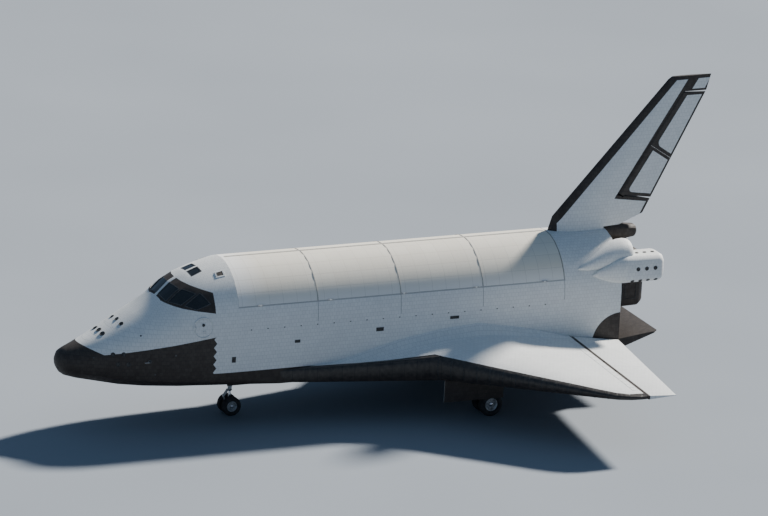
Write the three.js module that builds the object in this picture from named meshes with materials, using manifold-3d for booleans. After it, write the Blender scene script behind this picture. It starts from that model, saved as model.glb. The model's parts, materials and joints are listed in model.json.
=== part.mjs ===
// A winged space shuttle orbiter, standing on its landing gear.
// Stations run as on the real craft: x goes aft from the nose tip, y goes to starboard, and z goes up
// from the flat belly. All lengths are millimetres. Every piece is moved at the end, so that the
// craft's origin is on the ground under the middle of its length.

import * as THREE from "three";
import { mergeVertices } from "three/addons/utils/BufferGeometryUtils.js";
import Module from "manifold-3d";

const wasm = await Module();
wasm.setup();

// Driving dimensions
const LENGTH = 36370; // nose tip to fin tip
const BELLY_HEIGHT = 2360; // belly above the ground
const GAP = 0.3; // between pieces that touch
const MOVING_GAP = 10; // between a moving piece and its neighbours

const CAP_END = 1050; // nose cap meets forward fuselage
const FORWARD_END = 8900; // forward fuselage meets mid fuselage
const MID_END = 27300; // mid fuselage meets aft fuselage
const BASE = 30550; // rear face of the aft fuselage
const HALF_WIDTH = 2750;
const TOP_AXIS = 3400; // centre of the round top of the payload bay
const ROOT = HALF_WIDTH + GAP; // where the wing starts

const CABIN = { front: 4300, rear: 8500, wall: 300, floor: 2650 };
const BAY = { radius: 2350, bulkhead: 150 };
const SILL = 4240; // lower edge of the payload doors
const DOOR_THICKNESS = 110;
const DOOR_HINGE = { y: 2633, radius: 40, stations: [10100, 14000, 18100, 22200, 26100] };

const HATCH = { x: 7000, z: 3300, radius: 480, taper: 0.3, hinge_x: 6505, hinge_y: 2610 };

const HINGE_X = 27800; // elevon hinge line
const HINGE_Z = 730;
const HINGE_RADIUS = { root: 420, tip: 100 }; // half the wing's thickness there
const HINGE_CLEARANCE = 32; // lets the elevon's skin pass under the wing's rear edge
const WING_TIP = 11960;
const ELEVON_SPLIT = 7375;
const TRAILING = { root: 30500, tip: 29320 };
const EDGE_WIDTH = 380; // black leading edge, across

const FLAP = { x: 30800, z: 430, radius: 260, chord: 2200, half: 2450, rest: 13 };

const NOSE_GEAR = { x: 9750, radius: 506, width: 320, rim: 250, offset: 300, pin: 45 };
const MAIN_GEAR = { x: 22750, y: 3500, radius: 630, width: 385, rim: 310, offset: 420, pin: 60 };
const NOSE_WELL = { front: 9300, rear: 12700, half: 620, top: 900 };
const MAIN_WELL = { front: 19900, rear: 23300, inner: 2850, outer: 4250, top: 1150 };

// Fuselage stations. Columns: x, half width, bottom, top, shoulder height, lower corner's width and
// height, roundness of the top (1 is a plain ellipse, less is squarer)
const STATIONS = [
  [0, 60, 1270, 1390, 1330, 55, 55, 1],
  [60, 325, 1010, 1650, 1330, 320, 310, 1],
  [220, 590, 745, 1880, 1330, 580, 560, 1],
  [500, 800, 545, 2020, 1330, 780, 740, 1],
  [1050, 1050, 375, 2230, 1400, 1000, 900, 1],
  [1900, 1420, 220, 2570, 1620, 1250, 1050, 1],
  [3000, 1850, 70, 3130, 1950, 1300, 1050, 1],
  [4200, 2190, 0, 3790, 2300, 1250, 1000, 1],
  [5400, 2460, 0, 4440, 2620, 1100, 900, 0.98],
  [6050, 2550, 0, 5060, 2800, 1000, 800, 0.94],
  [6800, 2630, 0, 5480, 2980, 950, 750, 0.94],
  [7500, 2690, 0, 5740, 3130, 850, 680, 0.96],
  [8200, 2730, 0, 5970, 3270, 750, 600, 0.98],
  [8900, 2750, 0, 6150, 3400, 650, 500, 1],
  [11300, 2750, 0, 6150, 3400, 30, 30, 1],
  [27300, 2750, 0, 6150, 3400, 30, 30, 1],
  [30550, 2700, 0, 6100, 3400, 60, 60, 1],
];

// Wing sections. Columns: y, leading edge x and z, lower side, upper side, crest x, nose length,
// share of strake shape
const WING = [
  [2500, 11300, 640, 0, 2350, 22400, 800, 1],
  [2750, 11300, 640, 0, 2350, 22400, 800, 1],
  [3350, 13830, 740, 0, 1780, 22200, 800, 0.8],
  [4600, 19100, 850, 25, 1600, 22700, 700, 0],
  [8000, 22500, 800, 280, 1230, 24700, 560, 0],
  [10900, 25400, 765, 530, 960, 26500, 330, 0],
  [11500, 26080, 750, 590, 890, 26900, 230, 0],
  [11840, 26750, 740, 635, 840, 27200, 140, 0],
  [WING_TIP, 27300, 735, 660, 810, 27550, 80, 0],
];
// Upper side ahead of the crest. Columns: share of the way, rise on the strake, rise on the wing
const RISE = [
  [0.03, 0.05, 0.25],
  [0.11, 0.08, 0.45],
  [0.26, 0.125, 0.65],
  [0.44, 0.44, 0.81],
  [0.6, 0.69, 0.92],
  [0.79, 0.89, 0.98],
];

// Fin sections. Columns: z, leading edge x, trailing edge x, half thickness
const FIN = [
  [5600, 27300, 32290, 460],
  [6000, 27330, 32495, 450],
  [6870, 27600, 32939, 430],
  [7440, 28113, 33230, 410],
  [13120, 33223, 36130, 165],
  [13850, 33880, 36330, 145],
  [13990, 34080, 36370, 90],
];
const RUDDER = {
  low: [31350, 7790], // hinge line, x and z of its ends
  high: [34850, 13150],
  half: [330, 120], // half thickness of the fin there
  spindle: 85,
  split: 3080, // gap between upper and lower panels, along the hinge line
  open: 46, // degrees that a panel's nose leaves free ahead of it
  clearance: 34, // of the panels' round nose
  lip: 0.68, // how far ahead of the hinge line the fin's skin ends, in half thicknesses
};

// Panes on the port side. Each corner is a fuselage x and a share of the way from shoulder to crown
const PANES = {
  windscreen: [[5460, 0.975], [5500, 0.72], [6240, 0.74], [6080, 0.975]],
  corner_pane: [[5540, 0.69], [6010, 0.48], [6870, 0.53], [6330, 0.72]],
  side_pane: [[6130, 0.45], [6700, 0.31], [7480, 0.33], [7060, 0.53]],
  overhead_pane: [[7000, 0.985], [7000, 0.83], [7600, 0.84], [7600, 0.985]],
};

// Finishes
const finish = (color, roughness, metalness = 0) =>
  new THREE.MeshStandardMaterial({ color, roughness, metalness, flatShading: true });
const WHITE_TILE = finish(0xd9dde0, 0.6);
const BLANKET = finish(0xe8e3d6, 0.8);
const BLACK_TILE = finish(0x1d1a19, 0.55);
const CARBON = finish(0x181614, 0.45);
const GLASS = finish(0x1c2226, 0.1);
const STEEL = finish(0xb4b8ba, 0.4, 0.6);
const NOZZLE = finish(0x55504b, 0.5, 0.5);
const CABIN_GREY = finish(0x7f8a86, 0.7);
const RUBBER = finish(0x1b1b1b, 0.85);

const V = (x, y, z) => new THREE.Vector3(x, y, z);
const lerp = THREE.MathUtils.lerp;
const rad = THREE.MathUtils.degToRad;

// A closed three.js geometry as a solid, turned right side out.
function solid(geometry) {
  const bare = geometry.index ? geometry.toNonIndexed() : geometry.clone();
  for (const name of Object.keys(bare.attributes)) {
    if (name !== "position") bare.deleteAttribute(name);
  }
  const merged = mergeVertices(bare, 1e-3);
  const index = merged.index.array;
  const faces = [];
  for (let i = 0; i < index.length; i += 3) {
    const [a, b, c] = [index[i], index[i + 1], index[i + 2]];
    if (a !== b && b !== c && c !== a) faces.push([a, b, c]);
  }
  const make = (triangles) =>
    new wasm.Manifold(
      new wasm.Mesh({
        numProp: 3,
        vertProperties: merged.attributes.position.array,
        triVerts: new Uint32Array(triangles.flat()),
      }),
    );
  const made = make(faces);
  return made.volume() > 0 ? made : make(faces.map(([a, b, c]) => [a, c, b]));
}

// A skin over rings with the same number of points, closed at both ends by fans.
function loft(rings) {
  const count = rings[0].length;
  const points = rings.flat();
  const faces = [];
  for (let r = 0; r + 1 < rings.length; r++) {
    for (let i = 0; i < count; i++) {
      const a = r * count + i;
      const b = r * count + ((i + 1) % count);
      faces.push([a, b, b + count], [a, b + count, a + count]);
    }
  }
  for (const [first, ahead] of [[0, false], [(rings.length - 1) * count, true]]) {
    const middle = V(0, 0, 0);
    for (let i = 0; i < count; i++) middle.addScaledVector(points[first + i], 1 / count);
    points.push(middle);
    for (let i = 0; i < count; i++) {
      const [a, b] = [first + i, first + ((i + 1) % count)];
      faces.push(ahead ? [a, b, points.length - 1] : [b, a, points.length - 1]);
    }
  }
  const geometry = new THREE.BufferGeometry().setFromPoints(points);
  geometry.setIndex(faces.flat());
  return solid(geometry);
}

// A flat outline pushed along an axis. The outline's two numbers are the other two axes in order.
function prism(outline, axis, from, to) {
  const shape = new THREE.Shape(outline.map(([a, b]) => new THREE.Vector2(a, b)));
  const geometry = new THREE.ExtrudeGeometry(shape, { depth: to - from, bevelEnabled: false });
  const position = geometry.attributes.position;
  for (let i = 0; i < position.count; i++) {
    const [a, b, c] = [position.getX(i), position.getY(i), position.getZ(i) + from];
    if (axis === "x") position.setXYZ(i, c, a, b);
    if (axis === "y") position.setXYZ(i, a, c, b);
    if (axis === "z") position.setXYZ(i, a, b, c);
  }
  return solid(geometry);
}

function box(x0, x1, y0, y1, z0, z1) {
  const geometry = new THREE.BoxGeometry(x1 - x0, y1 - y0, z1 - z0);
  geometry.translate((x0 + x1) / 2, (y0 + y1) / 2, (z0 + z1) / 2);
  return solid(geometry);
}

// A round bar, or a cone where the second radius differs.
function rod(from, to, radius, radius_to = radius, segments = 16) {
  const along = to.clone().sub(from);
  const geometry = new THREE.CylinderGeometry(radius_to, radius, along.length(), segments);
  const up = V(0, 1, 0);
  geometry.applyQuaternion(new THREE.Quaternion().setFromUnitVectors(up, along.clone().normalize()));
  geometry.translate(...from.clone().add(to).multiplyScalar(0.5).toArray());
  return solid(geometry);
}

// A pin, and the many-sided bore in which it turns freely.
const PIN_SIDES = 24;
const pinBar = (from, to, radius) => rod(from, to, radius, radius, PIN_SIDES);
const boreBar = (from, to, radius) => pinBar(from, to, (radius + 0.2) / Math.cos(Math.PI / PIN_SIDES));

// A turned piece about a line along y. The profile's columns are radius and distance outboard.
function turned(profile, x, y, z, segments) {
  const geometry = new THREE.LatheGeometry(
    [...profile, profile[0]].map(([r, h]) => new THREE.Vector2(r, h)),
    segments,
  );
  geometry.translate(x, y, z);
  return solid(geometry);
}

const group = new THREE.Group();
const craft = new THREE.Group();
craft.position.set(-LENGTH / 2, 0, BELLY_HEIGHT);
group.add(craft);

// Puts a solid into the craft, as built or mirrored to port.
function add(name, shape, material, port = false) {
  const mesh = shape.getMesh();
  const stride = mesh.numProp;
  const place = new Float32Array((mesh.vertProperties.length / stride) * 3);
  for (let i = 0; i < place.length / 3; i++) {
    for (let k = 0; k < 3; k++) place[3 * i + k] = mesh.vertProperties[stride * i + k];
  }
  const geometry = new THREE.BufferGeometry();
  geometry.setAttribute("position", new THREE.BufferAttribute(place, 3));
  geometry.setIndex(Array.from(mesh.triVerts));
  const made = new THREE.Mesh(geometry, material);
  made.name = name;
  if (port) made.scale.y = -1;
  craft.add(made);
  return made;
}

const addBothSides = (name, shape, material) => [
  add(`${name}_right`, shape, material),
  add(`${name}_left`, shape, material, true),
];

// Fuselage

function stationAt(x) {
  let i = 0;
  while (i < STATIONS.length - 2 && x > STATIONS[i + 1][0]) i++;
  const [a, b] = [STATIONS[i], STATIONS[i + 1]];
  const share = (x - a[0]) / (b[0] - a[0]);
  const [, half, bottom, top, shoulder, corner_y, corner_z, round] = a.map((v, k) => lerp(v, b[k], share));
  return { half, bottom, top, shoulder, corner_y, corner_z, round };
}

// A point of the skin's upper half on the starboard side, by share of the way from shoulder to crown.
function upperPoint(x, share, inset = 0) {
  const s = stationAt(x);
  const angle = (share * Math.PI) / 2;
  const out = share >= 1 ? 0 : Math.cos(angle) ** s.round;
  const y = (s.half - inset) * out;
  const z = s.shoulder + (s.top - inset - s.shoulder) * Math.sin(angle) ** s.round;
  return V(x, y, z);
}

function ringAt(x, inset) {
  const s = stationAt(x);
  const width = Math.max(s.corner_y - inset, 25);
  const height = Math.max(s.corner_z - inset, 25);
  const side = [V(x, 0, s.bottom + inset)];
  for (let i = 0; i <= 3; i++) {
    const angle = (i * Math.PI) / 6;
    const y = s.half - inset - width + width * Math.sin(angle);
    side.push(V(x, y, s.bottom + inset + height - height * Math.cos(angle)));
  }
  for (let i = 0; i <= 7; i++) side.push(upperPoint(x, i / 7, inset));
  const port = side.slice(1, -1).reverse().map((p) => V(p.x, -p.y, p.z));
  return [...side, ...port];
}

// The fuselage's outer shape between two stations, shrunk on all sides by the inset.
function hull(from, to, inset = 0) {
  const between = STATIONS.map((s) => s[0]).filter((x) => x > from + 1 && x < to - 1);
  return loft([from, ...between, to].map((x) => ringAt(x, inset)));
}

function paneCutter(corners, shrink) {
  const port = corners.map(([x, share]) => {
    const p = upperPoint(x, share);
    return V(p.x, -p.y, p.z);
  });
  const middle = V(0, 0, 0);
  for (const p of port) middle.addScaledVector(p, 0.25);
  const across = port[2].clone().sub(port[0]);
  const normal = across.cross(port[3].clone().sub(port[1])).normalize();
  const away = normal.z < 0 ? -1 : 1;
  const ring = (distance) =>
    port.map((p) => {
      const inward = middle.clone().sub(p).normalize().multiplyScalar(shrink);
      return p.clone().add(inward).addScaledVector(normal, distance * away);
    });
  return loft([ring(250), ring(-560)]);
}

function paneCutterBothSides(corners) {
  const port = paneCutter(corners, 0);
  const other = corners.map(([x, share]) => upperPoint(x, share));
  const middle = V(0, 0, 0);
  for (const p of other) middle.addScaledVector(p, 0.25);
  const across = other[2].clone().sub(other[0]);
  const normal = across.cross(other[3].clone().sub(other[1])).normalize();
  const away = normal.z < 0 ? -1 : 1;
  const ring = (distance) => other.map((p) => p.clone().addScaledVector(normal, distance * away));
  return port.add(loft([ring(250), ring(-560)]));
}

function hatchCone(shrink) {
  const { x, z, radius, taper } = HATCH;
  const at = (y) => radius - shrink - taper * (2640 - y);
  return rod(V(x, -2200, z), V(x, -3000, z), at(2200), at(3000), 24);
}

const hatchLine = (z0, z1, radius) =>
  rod(V(HATCH.hinge_x, -HATCH.hinge_y, z0), V(HATCH.hinge_x, -HATCH.hinge_y, z1), radius, radius, 8);

const noseCap = () => hull(0, CAP_END);

function forwardFuselage() {
  const { hinge_x: hx, hinge_y: hy, z } = HATCH;
  const room = hull(CABIN.front, CABIN.rear, CABIN.wall).intersect(box(4000, 8800, -3000, 3000, CABIN.floor, 6000));
  let shape = hull(CAP_END + GAP, FORWARD_END).subtract(room);
  for (const corners of Object.values(PANES)) shape = shape.subtract(paneCutterBothSides(corners));
  shape = shape.subtract(hatchCone(0));
  shape = shape.subtract(box(hx - 40, hx + 45, -hy - 60, -hy + 60, z - 50, z + 50));
  for (const side of [-1, 1]) {
    const [low, high] = side < 0 ? [z - 125, z - 40.5] : [z + 40.5, z + 125];
    shape = shape.add(box(hx - 24, hx + 20, -hy - 10, -hy + 110, low, high));
    shape = shape.add(hatchLine(low, high, 28));
  }
  return shape;
}

function crewHatch() {
  const { hinge_x: hx, hinge_y: hy, z } = HATCH;
  const shell = hull(5000, 8450).subtract(hull(4900, 8500, CABIN.wall));
  const plug = shell.intersect(hatchCone(8));
  const arm = box(hx, hx + 100, -hy - 12, -hy + 40, z - 40, z + 40);
  return plug.add(arm).add(hatchLine(z - 40, z + 40, 28));
}

function pane(corners) {
  const shell = hull(5000, 8450, 18).subtract(hull(4900, 8500, 58));
  return shell.intersect(paneCutter(corners, 0.5));
}

function flightDeck() {
  const inside = hull(CABIN.front + GAP, CABIN.rear - GAP, CABIN.wall + GAP);
  const { floor } = CABIN;
  let deck = box(4000, 8800, -3000, 3000, floor + GAP, floor + 80);
  deck = deck.add(prism([[5250, floor], [5850, floor], [5700, 3950], [5350, 4050]], "y", -1500, 1500));
  for (const side of [-1, 1]) {
    const [a, b] = side < 0 ? [-1050, -500] : [500, 1050];
    deck = deck.add(box(6500, 6950, a + 100, b - 100, floor, 3400));
    deck = deck.add(box(6400, 7000, a, b, 3350, 3480));
    deck = deck.add(prism([[6930, 3350], [7060, 3350], [7200, 4350], [7090, 4350]], "y", a, b));
  }
  deck = deck.add(box(6100, 6700, -200, 200, floor, 3500));
  return deck.intersect(inside);
}

// Hinge knuckles of the starboard payload door, along the sill.
const sillRod = (x0, x1, radius) => rod(V(x0, DOOR_HINGE.y, SILL), V(x1, DOOR_HINGE.y, SILL), radius, radius, 8);

function midFuselage() {
  const [front, rear] = [FORWARD_END + GAP, MID_END - GAP];
  let shape = hull(front, rear).intersect(box(front - 1, rear + 1, -3000, 3000, -10, SILL));
  const under = hull(front, rear, DOOR_THICKNESS + MOVING_GAP);
  for (const x of [front, rear - BAY.bulkhead]) {
    shape = shape.add(under.intersect(box(x, x + BAY.bulkhead, -3000, 3000, SILL - 50, 6500)));
  }
  const [bay_front, bay_rear] = [front + BAY.bulkhead, rear - BAY.bulkhead];
  shape = shape.subtract(rod(V(bay_front, 0, TOP_AXIS), V(bay_rear, 0, TOP_AXIS), BAY.radius, BAY.radius, 32));
  shape = shape.subtract(box(bay_front, bay_rear, -2195, 2195, TOP_AXIS, 6500));
  for (const x of DOOR_HINGE.stations) {
    for (const side of [false, true]) {
      let ears = sillRod(x - 150, x + 150, DOOR_HINGE.radius);
      let notch = sillRod(x - 50.5, x + 50.5, DOOR_HINGE.radius + 6);
      if (side) [ears, notch] = [ears, notch].map(toPort);
      shape = shape.add(ears).subtract(notch);
    }
  }
  const { half, top } = NOSE_WELL;
  shape = shape.subtract(box(NOSE_WELL.front, NOSE_WELL.rear, -half, half, -50, top));
  shape = shape.add(box(17900, 18300, -200, 200, 1000, 1120)); // keel fitting in the bay
  for (const [x, y] of [[14500, 0], [25000, -1700], [25000, 1700]]) {
    shape = shape.add(box(x - 200, x + 200, y - 200, y + 200, -30, 10)); // belly attachment pads
  }
  return shape;
}

// The same solid on the other side.
function toPort(shape) {
  const mesh = shape.getMesh();
  const stride = mesh.numProp;
  const points = [];
  for (let i = 0; i < mesh.vertProperties.length; i += stride) {
    points.push(V(mesh.vertProperties[i], -mesh.vertProperties[i + 1], mesh.vertProperties[i + 2]));
  }
  const geometry = new THREE.BufferGeometry().setFromPoints(points);
  const index = Array.from(mesh.triVerts);
  for (let i = 0; i < index.length; i += 3) [index[i], index[i + 1]] = [index[i + 1], index[i]];
  geometry.setIndex(index);
  return solid(geometry);
}

function payloadDoor() {
  const [front, rear] = [FORWARD_END + MOVING_GAP, MID_END - MOVING_GAP];
  const skin = hull(front, rear).subtract(hull(front - 5, rear + 5, DOOR_THICKNESS));
  let shape = skin.intersect(box(front - 1, rear + 1, MOVING_GAP / 2, 3000, SILL + 6, 7000));
  for (const x of DOOR_HINGE.stations) {
    for (const [a, b] of [[x - 150.5, x - 50], [x + 50, x + 150.5]]) {
      shape = shape.subtract(sillRod(a, b, DOOR_HINGE.radius + 6));
    }
    shape = shape.add(sillRod(x - 50, x + 50, DOOR_HINGE.radius));
  }
  return shape;
}

// Hinge lugs: a plate with a bore on the fixed side, a pin across a notch on the moving side.
// The line runs along y through x and z. The lug reaches forward from it.
function lug(x, y, z, radius, reach, pin) {
  const plate = rod(V(x, y - 55, z), V(x, y + 55, z), radius);
  const arm = box(x - reach, x, y - 55, y + 55, z - radius * 0.78, z + radius * 0.78);
  const hole = boreBar(V(x, y - 60, z), V(x, y + 60, z), pin);
  return plate.add(arm).subtract(hole);
}

function notched(shape, x, y, z, radius, reach, pin) {
  const room = rod(V(x, y - 65, z), V(x, y + 65, z), radius + 9);
  const ahead = box(x - reach, x, y - 65, y + 65, z - reach, z + reach);
  return shape.subtract(room).subtract(ahead).add(pinBar(V(x, y - 75, z), V(x, y + 75, z), pin));
}

function aftFuselage() {
  let shape = hull(MID_END + GAP, BASE);
  const end = FLAP.half + 20;
  shape = shape.subtract(rod(V(FLAP.x, -end, FLAP.z), V(FLAP.x, end, FLAP.z), FLAP.radius + 20, FLAP.radius + 20, 20));
  for (const y of FLAP_LUGS) shape = shape.add(lug(FLAP.x, y, FLAP.z, 170, 400, 45));
  return shape;
}
const FLAP_LUGS = [-1700, 0, 1700];

function bodyFlap() {
  const { x, z, radius, chord, half } = FLAP;
  const side = [[x, z - radius], [x + chord, z - 22], [x + chord, z + 22], [x, z + radius]];
  let shape = prism(side, "y", -half, half);
  shape = shape.add(rod(V(x, -half, z), V(x, half, z), radius, radius, 20));
  const corner = [[x + chord - 300, half + 50], [x + chord + 50, half + 50], [x + chord + 50, half - 180]];
  const cut = prism(corner, "z", z - 900, z + 900);
  shape = shape.subtract(cut).subtract(toPort(cut));
  for (const y of FLAP_LUGS) shape = notched(shape, x, y, z, 170, 400, 45);
  return shape;
}

// Wing

const hingeRadius = (y) => lerp(HINGE_RADIUS.root, HINGE_RADIUS.tip, (y - HALF_WIDTH) / (WING_TIP - HALF_WIDTH));

function wingRing([y, edge_x, edge_z, lower, upper, crest, nose, strake]) {
  const span = Math.max((y - HALF_WIDTH) / (WING_TIP - HALF_WIDTH), 0);
  const radius = lerp(HINGE_RADIUS.root, HINGE_RADIUS.tip, span);
  const trailing = lerp(TRAILING.root, TRAILING.tip, span);
  const at = (x, z) => V(x, y, z);
  const rise = RISE.map(([way, on_strake, on_wing]) => {
    const share = lerp(way * way ** 0.5, way, strake);
    return at(lerp(edge_x, crest, share), lerp(edge_z, upper, lerp(on_wing, on_strake, strake)));
  });
  const flat_end = lerp(edge_x + nose, HINGE_X, 0.72);
  return [
    at(edge_x, edge_z),
    ...rise,
    at(crest, upper),
    at(lerp(crest, HINGE_X, 0.5), lerp(upper, HINGE_Z + radius, 0.42)),
    at(HINGE_X, HINGE_Z + radius),
    at(trailing, HINGE_Z + 14),
    at(trailing, HINGE_Z - 14),
    at(HINGE_X, HINGE_Z - radius),
    at(lerp(flat_end, HINGE_X, 0.5), lerp(lower, HINGE_Z - radius, 0.35)),
    at(flat_end, lower),
    at(edge_x + nose, lower),
    at(edge_x + nose * 0.45, lerp(edge_z, lower, 0.8)),
    at(edge_x + nose * 0.1, lerp(edge_z, lower, 0.42)),
  ];
}

const wingShape = loft(WING.map(wingRing)).intersect(box(8000, 34000, ROOT, WING_TIP + 50, -200, 4000));

function hingeBar(more, from = HALF_WIDTH, to = WING_TIP) {
  return rod(V(HINGE_X, from, HINGE_Z), V(HINGE_X, to, HINGE_Z), hingeRadius(from) + more, hingeRadius(to) + more, 20);
}

// The strip of the planform within a distance of the leading edge.
function edgeStrip(width) {
  const line = WING.slice(1).map((row) => new THREE.Vector2(row[1], row[0]));
  const inner = line.map((p, i) => {
    const before = line[Math.max(i - 1, 0)];
    const after = line[Math.min(i + 1, line.length - 1)];
    const way = after.clone().sub(before).normalize();
    const across = new THREE.Vector2(way.y, -way.x);
    return p.clone().addScaledVector(across, width * (1 - 0.35 * (i / line.length)));
  });
  const outer = [new THREE.Vector2(8000, 2000), new THREE.Vector2(8000, 13000), new THREE.Vector2(28600, 13000)];
  inner.pop();
  const last = new THREE.Vector2(28600, inner[inner.length - 1].y);
  const outline = [...outer, last, ...inner.reverse(), new THREE.Vector2(inner[inner.length - 1].x, 2000)];
  return prism(outline.map((p) => [p.x, p.y]), "z", -300, 3000);
}

const ELEVONS = [
  { name: "elevon_inner", from: ROOT + 40, to: ELEVON_SPLIT - MOVING_GAP / 2, lugs: [3500, 6700] },
  { name: "elevon_outer", from: ELEVON_SPLIT + MOVING_GAP / 2, to: WING_TIP + 100, lugs: [8100, 11200] },
];

function fixedWing() {
  let shape = wingShape.subtract(box(HINGE_X, 34000, 2000, 13000, -200, 4000));
  shape = shape.subtract(hingeBar(HINGE_CLEARANCE, ROOT - 20, WING_TIP + 40));
  return shape;
}

function wing() {
  const { front, rear, inner, outer, top } = MAIN_WELL;
  let shape = fixedWing().subtract(edgeStrip(EDGE_WIDTH + GAP));
  shape = shape.subtract(box(front, rear, inner, outer, -200, top));
  for (const { lugs } of ELEVONS) {
    for (const y of lugs) {
      const r = hingeRadius(y);
      shape = shape.add(lug(HINGE_X, y, HINGE_Z, r * 0.7, r + 60, 36));
    }
  }
  return shape;
}

const leadingEdge = () => fixedWing().intersect(edgeStrip(EDGE_WIDTH));

function elevon({ from, to, lugs }) {
  let shape = wingShape.intersect(box(HINGE_X, 34000, from, to, -200, 4000));
  const end = Math.min(to, WING_TIP);
  shape = shape.add(hingeBar(0, from, end));
  for (const y of lugs) {
    const r = hingeRadius(y);
    shape = notched(shape, HINGE_X, y, HINGE_Z, r * 0.7, r + 60, 36);
  }
  return shape;
}

// Fin and rudder

const finHinge = (z) => {
  const share = (z - RUDDER.low[1]) / (RUDDER.high[1] - RUDDER.low[1]);
  return [lerp(RUDDER.low[0], RUDDER.high[0], share), lerp(RUDDER.half[0], RUDDER.half[1], share)];
};

function finRing([z, leading, trailing, half]) {
  const [hinge, hinge_half] = finHinge(z);
  const along = (share) => lerp(leading, hinge, share);
  const side = [
    [along(0.015), half * 0.16],
    [along(0.12), half * 0.55],
    [along(0.3), half * 0.88],
    [along(0.52), half],
    [hinge, hinge_half],
    [trailing, 12],
  ];
  return [
    V(leading, 0, z),
    ...side.map(([x, y]) => V(x, y, z)),
    ...side.reverse().map(([x, y]) => V(x, -y, z)),
  ];
}

const finShape = loft(FIN.map(finRing));
const hingeLow = V(RUDDER.low[0], 0, RUDDER.low[1]);
const hingeHigh = V(RUDDER.high[0], 0, RUDDER.high[1]);
const hingeWay = hingeHigh.clone().sub(hingeLow).normalize();
const hingeLength = hingeHigh.distanceTo(hingeLow);
const hingeAft = V(hingeWay.z, 0, -hingeWay.x);

// A place by distance up the rudder hinge line, distance aft of it and distance to starboard.
const atRudder = (up, aft, out = 0) => {
  const p = hingeLow.clone().addScaledVector(hingeWay, up).addScaledVector(hingeAft, aft);
  return p.setY(out);
};
const rudderHalf = (up) => lerp(RUDDER.half[0], RUDDER.half[1], up / hingeLength);
const rudderBar = (from, to, more) =>
  rod(atRudder(from, 0), atRudder(to, 0), rudderHalf(from) + more, rudderHalf(to) + more, 24);

// Block between two edges that cross the rudder. Each edge is its height at the hinge, its slope aft and
// how far ahead of the hinge it starts.
function rudderBlock([low, low_slope, low_front = 15], [high, high_slope, high_front = 15], y0, y1) {
  const outline = [
    atRudder(low - low_slope * low_front, -low_front),
    atRudder(low + low_slope * 2400, 2400),
    atRudder(high + high_slope * 2400, 2400),
    atRudder(high - high_slope * high_front, -high_front),
  ];
  return prism(outline.map((p) => [p.x, p.z]), "y", y0, y1);
}

const EDGE_SLOPE = { low: 0.416, high: 0.6196 };

function fin() {
  let shape = finShape.subtract(hull(26000, BASE + 10, -GAP));
  shape = shape.subtract(box(BASE - 100, 34000, -600, 600, 5000, 6200));
  shape = shape.subtract(prism([[31400, 6200], [33050, 6750], [34500, 6750], [34500, 6000], [31400, 6000]], "y", -600, 600));
  const [low_lip, high_lip] = RUDDER.half.map((half) => half * RUDDER.lip);
  const lower_edge = [-6, EDGE_SLOPE.low, low_lip];
  const upper_edge = [hingeLength + 6, EDGE_SLOPE.high, high_lip];
  shape = shape.subtract(rudderBlock(lower_edge, upper_edge, -600, 600));
  return shape.subtract(rudderBar(0, hingeLength, RUDDER.clearance));
}

const spindle = () => pinBar(atRudder(0.5, 0), atRudder(hingeLength - 0.5, 0), RUDDER.spindle);

function rudderPanel(low, high) {
  let shape = finShape.intersect(rudderBlock(low, high, 2.5, 600));
  const reach = 1000;
  const side = reach * Math.tan(rad(RUDDER.open));
  const wedge = [0, hingeLength].map((up) => [
    atRudder(up, 0, 0),
    atRudder(up, -reach, side),
    atRudder(up, -reach, -side),
  ]);
  const bar = rudderBar(low[0], high[0], 0).intersect(box(30000, 37000, 2.5, 600, 6000, 15000));
  shape = shape.add(bar.subtract(loft(wedge)));
  return shape.subtract(boreBar(atRudder(-50, 0), atRudder(hingeLength + 50, 0), RUDDER.spindle));
}

// Rear: engine block, nozzles, pods, parachute housing

// Eight-sided ring across x.
function blockRing(x, y0, y1, z0, z1, cut) {
  return [
    V(x, y0 + cut, z0),
    V(x, y1 - cut, z0),
    V(x, y1, z0 + cut),
    V(x, y1, z1 - cut),
    V(x, y1 - cut, z1),
    V(x, y0 + cut, z1),
    V(x, y0, z1 - cut),
    V(x, y0, z0 + cut),
  ];
}

const engineBlock = () =>
  loft([
    blockRing(BASE + GAP, -1350, 1350, 2000, 5000, 120),
    blockRing(32250, -1350, 1350, 2050, 4950, 120),
    blockRing(32500, -1200, 1200, 2200, 4800, 120),
  ]);

function nozzle() {
  const outline = [[170, 0], [230, 0], [200, 120], [300, 420], [420, 800], [395, 800], [275, 430], [150, 130]];
  const points = [...outline, outline[0]].map(([r, h]) => new THREE.Vector2(r, h));
  const geometry = new THREE.LatheGeometry(points, 20);
  geometry.rotateZ(-Math.PI / 2);
  geometry.translate(32500 + GAP, 600, 3700);
  return solid(geometry);
}

const pod = () =>
  loft([
    blockRing(28900, 2520, 2600, 4260, 4340, 20),
    blockRing(29500, 2200, 2770, 4020, 4720, 120),
    blockRing(30300, 1650, 2890, 3820, 5130, 200),
    blockRing(30800, 1400, 2900, 3780, 5220, 220),
    blockRing(32700, 1400, 2880, 3780, 5220, 220),
    blockRing(32900, 1520, 2760, 3900, 5100, 220),
  ]).subtract(hull(27000, BASE, -GAP));

const parachuteHousing = () =>
  loft([
    blockRing(BASE + GAP, -400, 400, 5380, 6180, 160),
    blockRing(31600, -400, 400, 5380, 6180, 160),
    blockRing(32400, -330, 330, 5480, 6100, 160),
  ]);

// Landing gear

const ground = -BELLY_HEIGHT;

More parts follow.
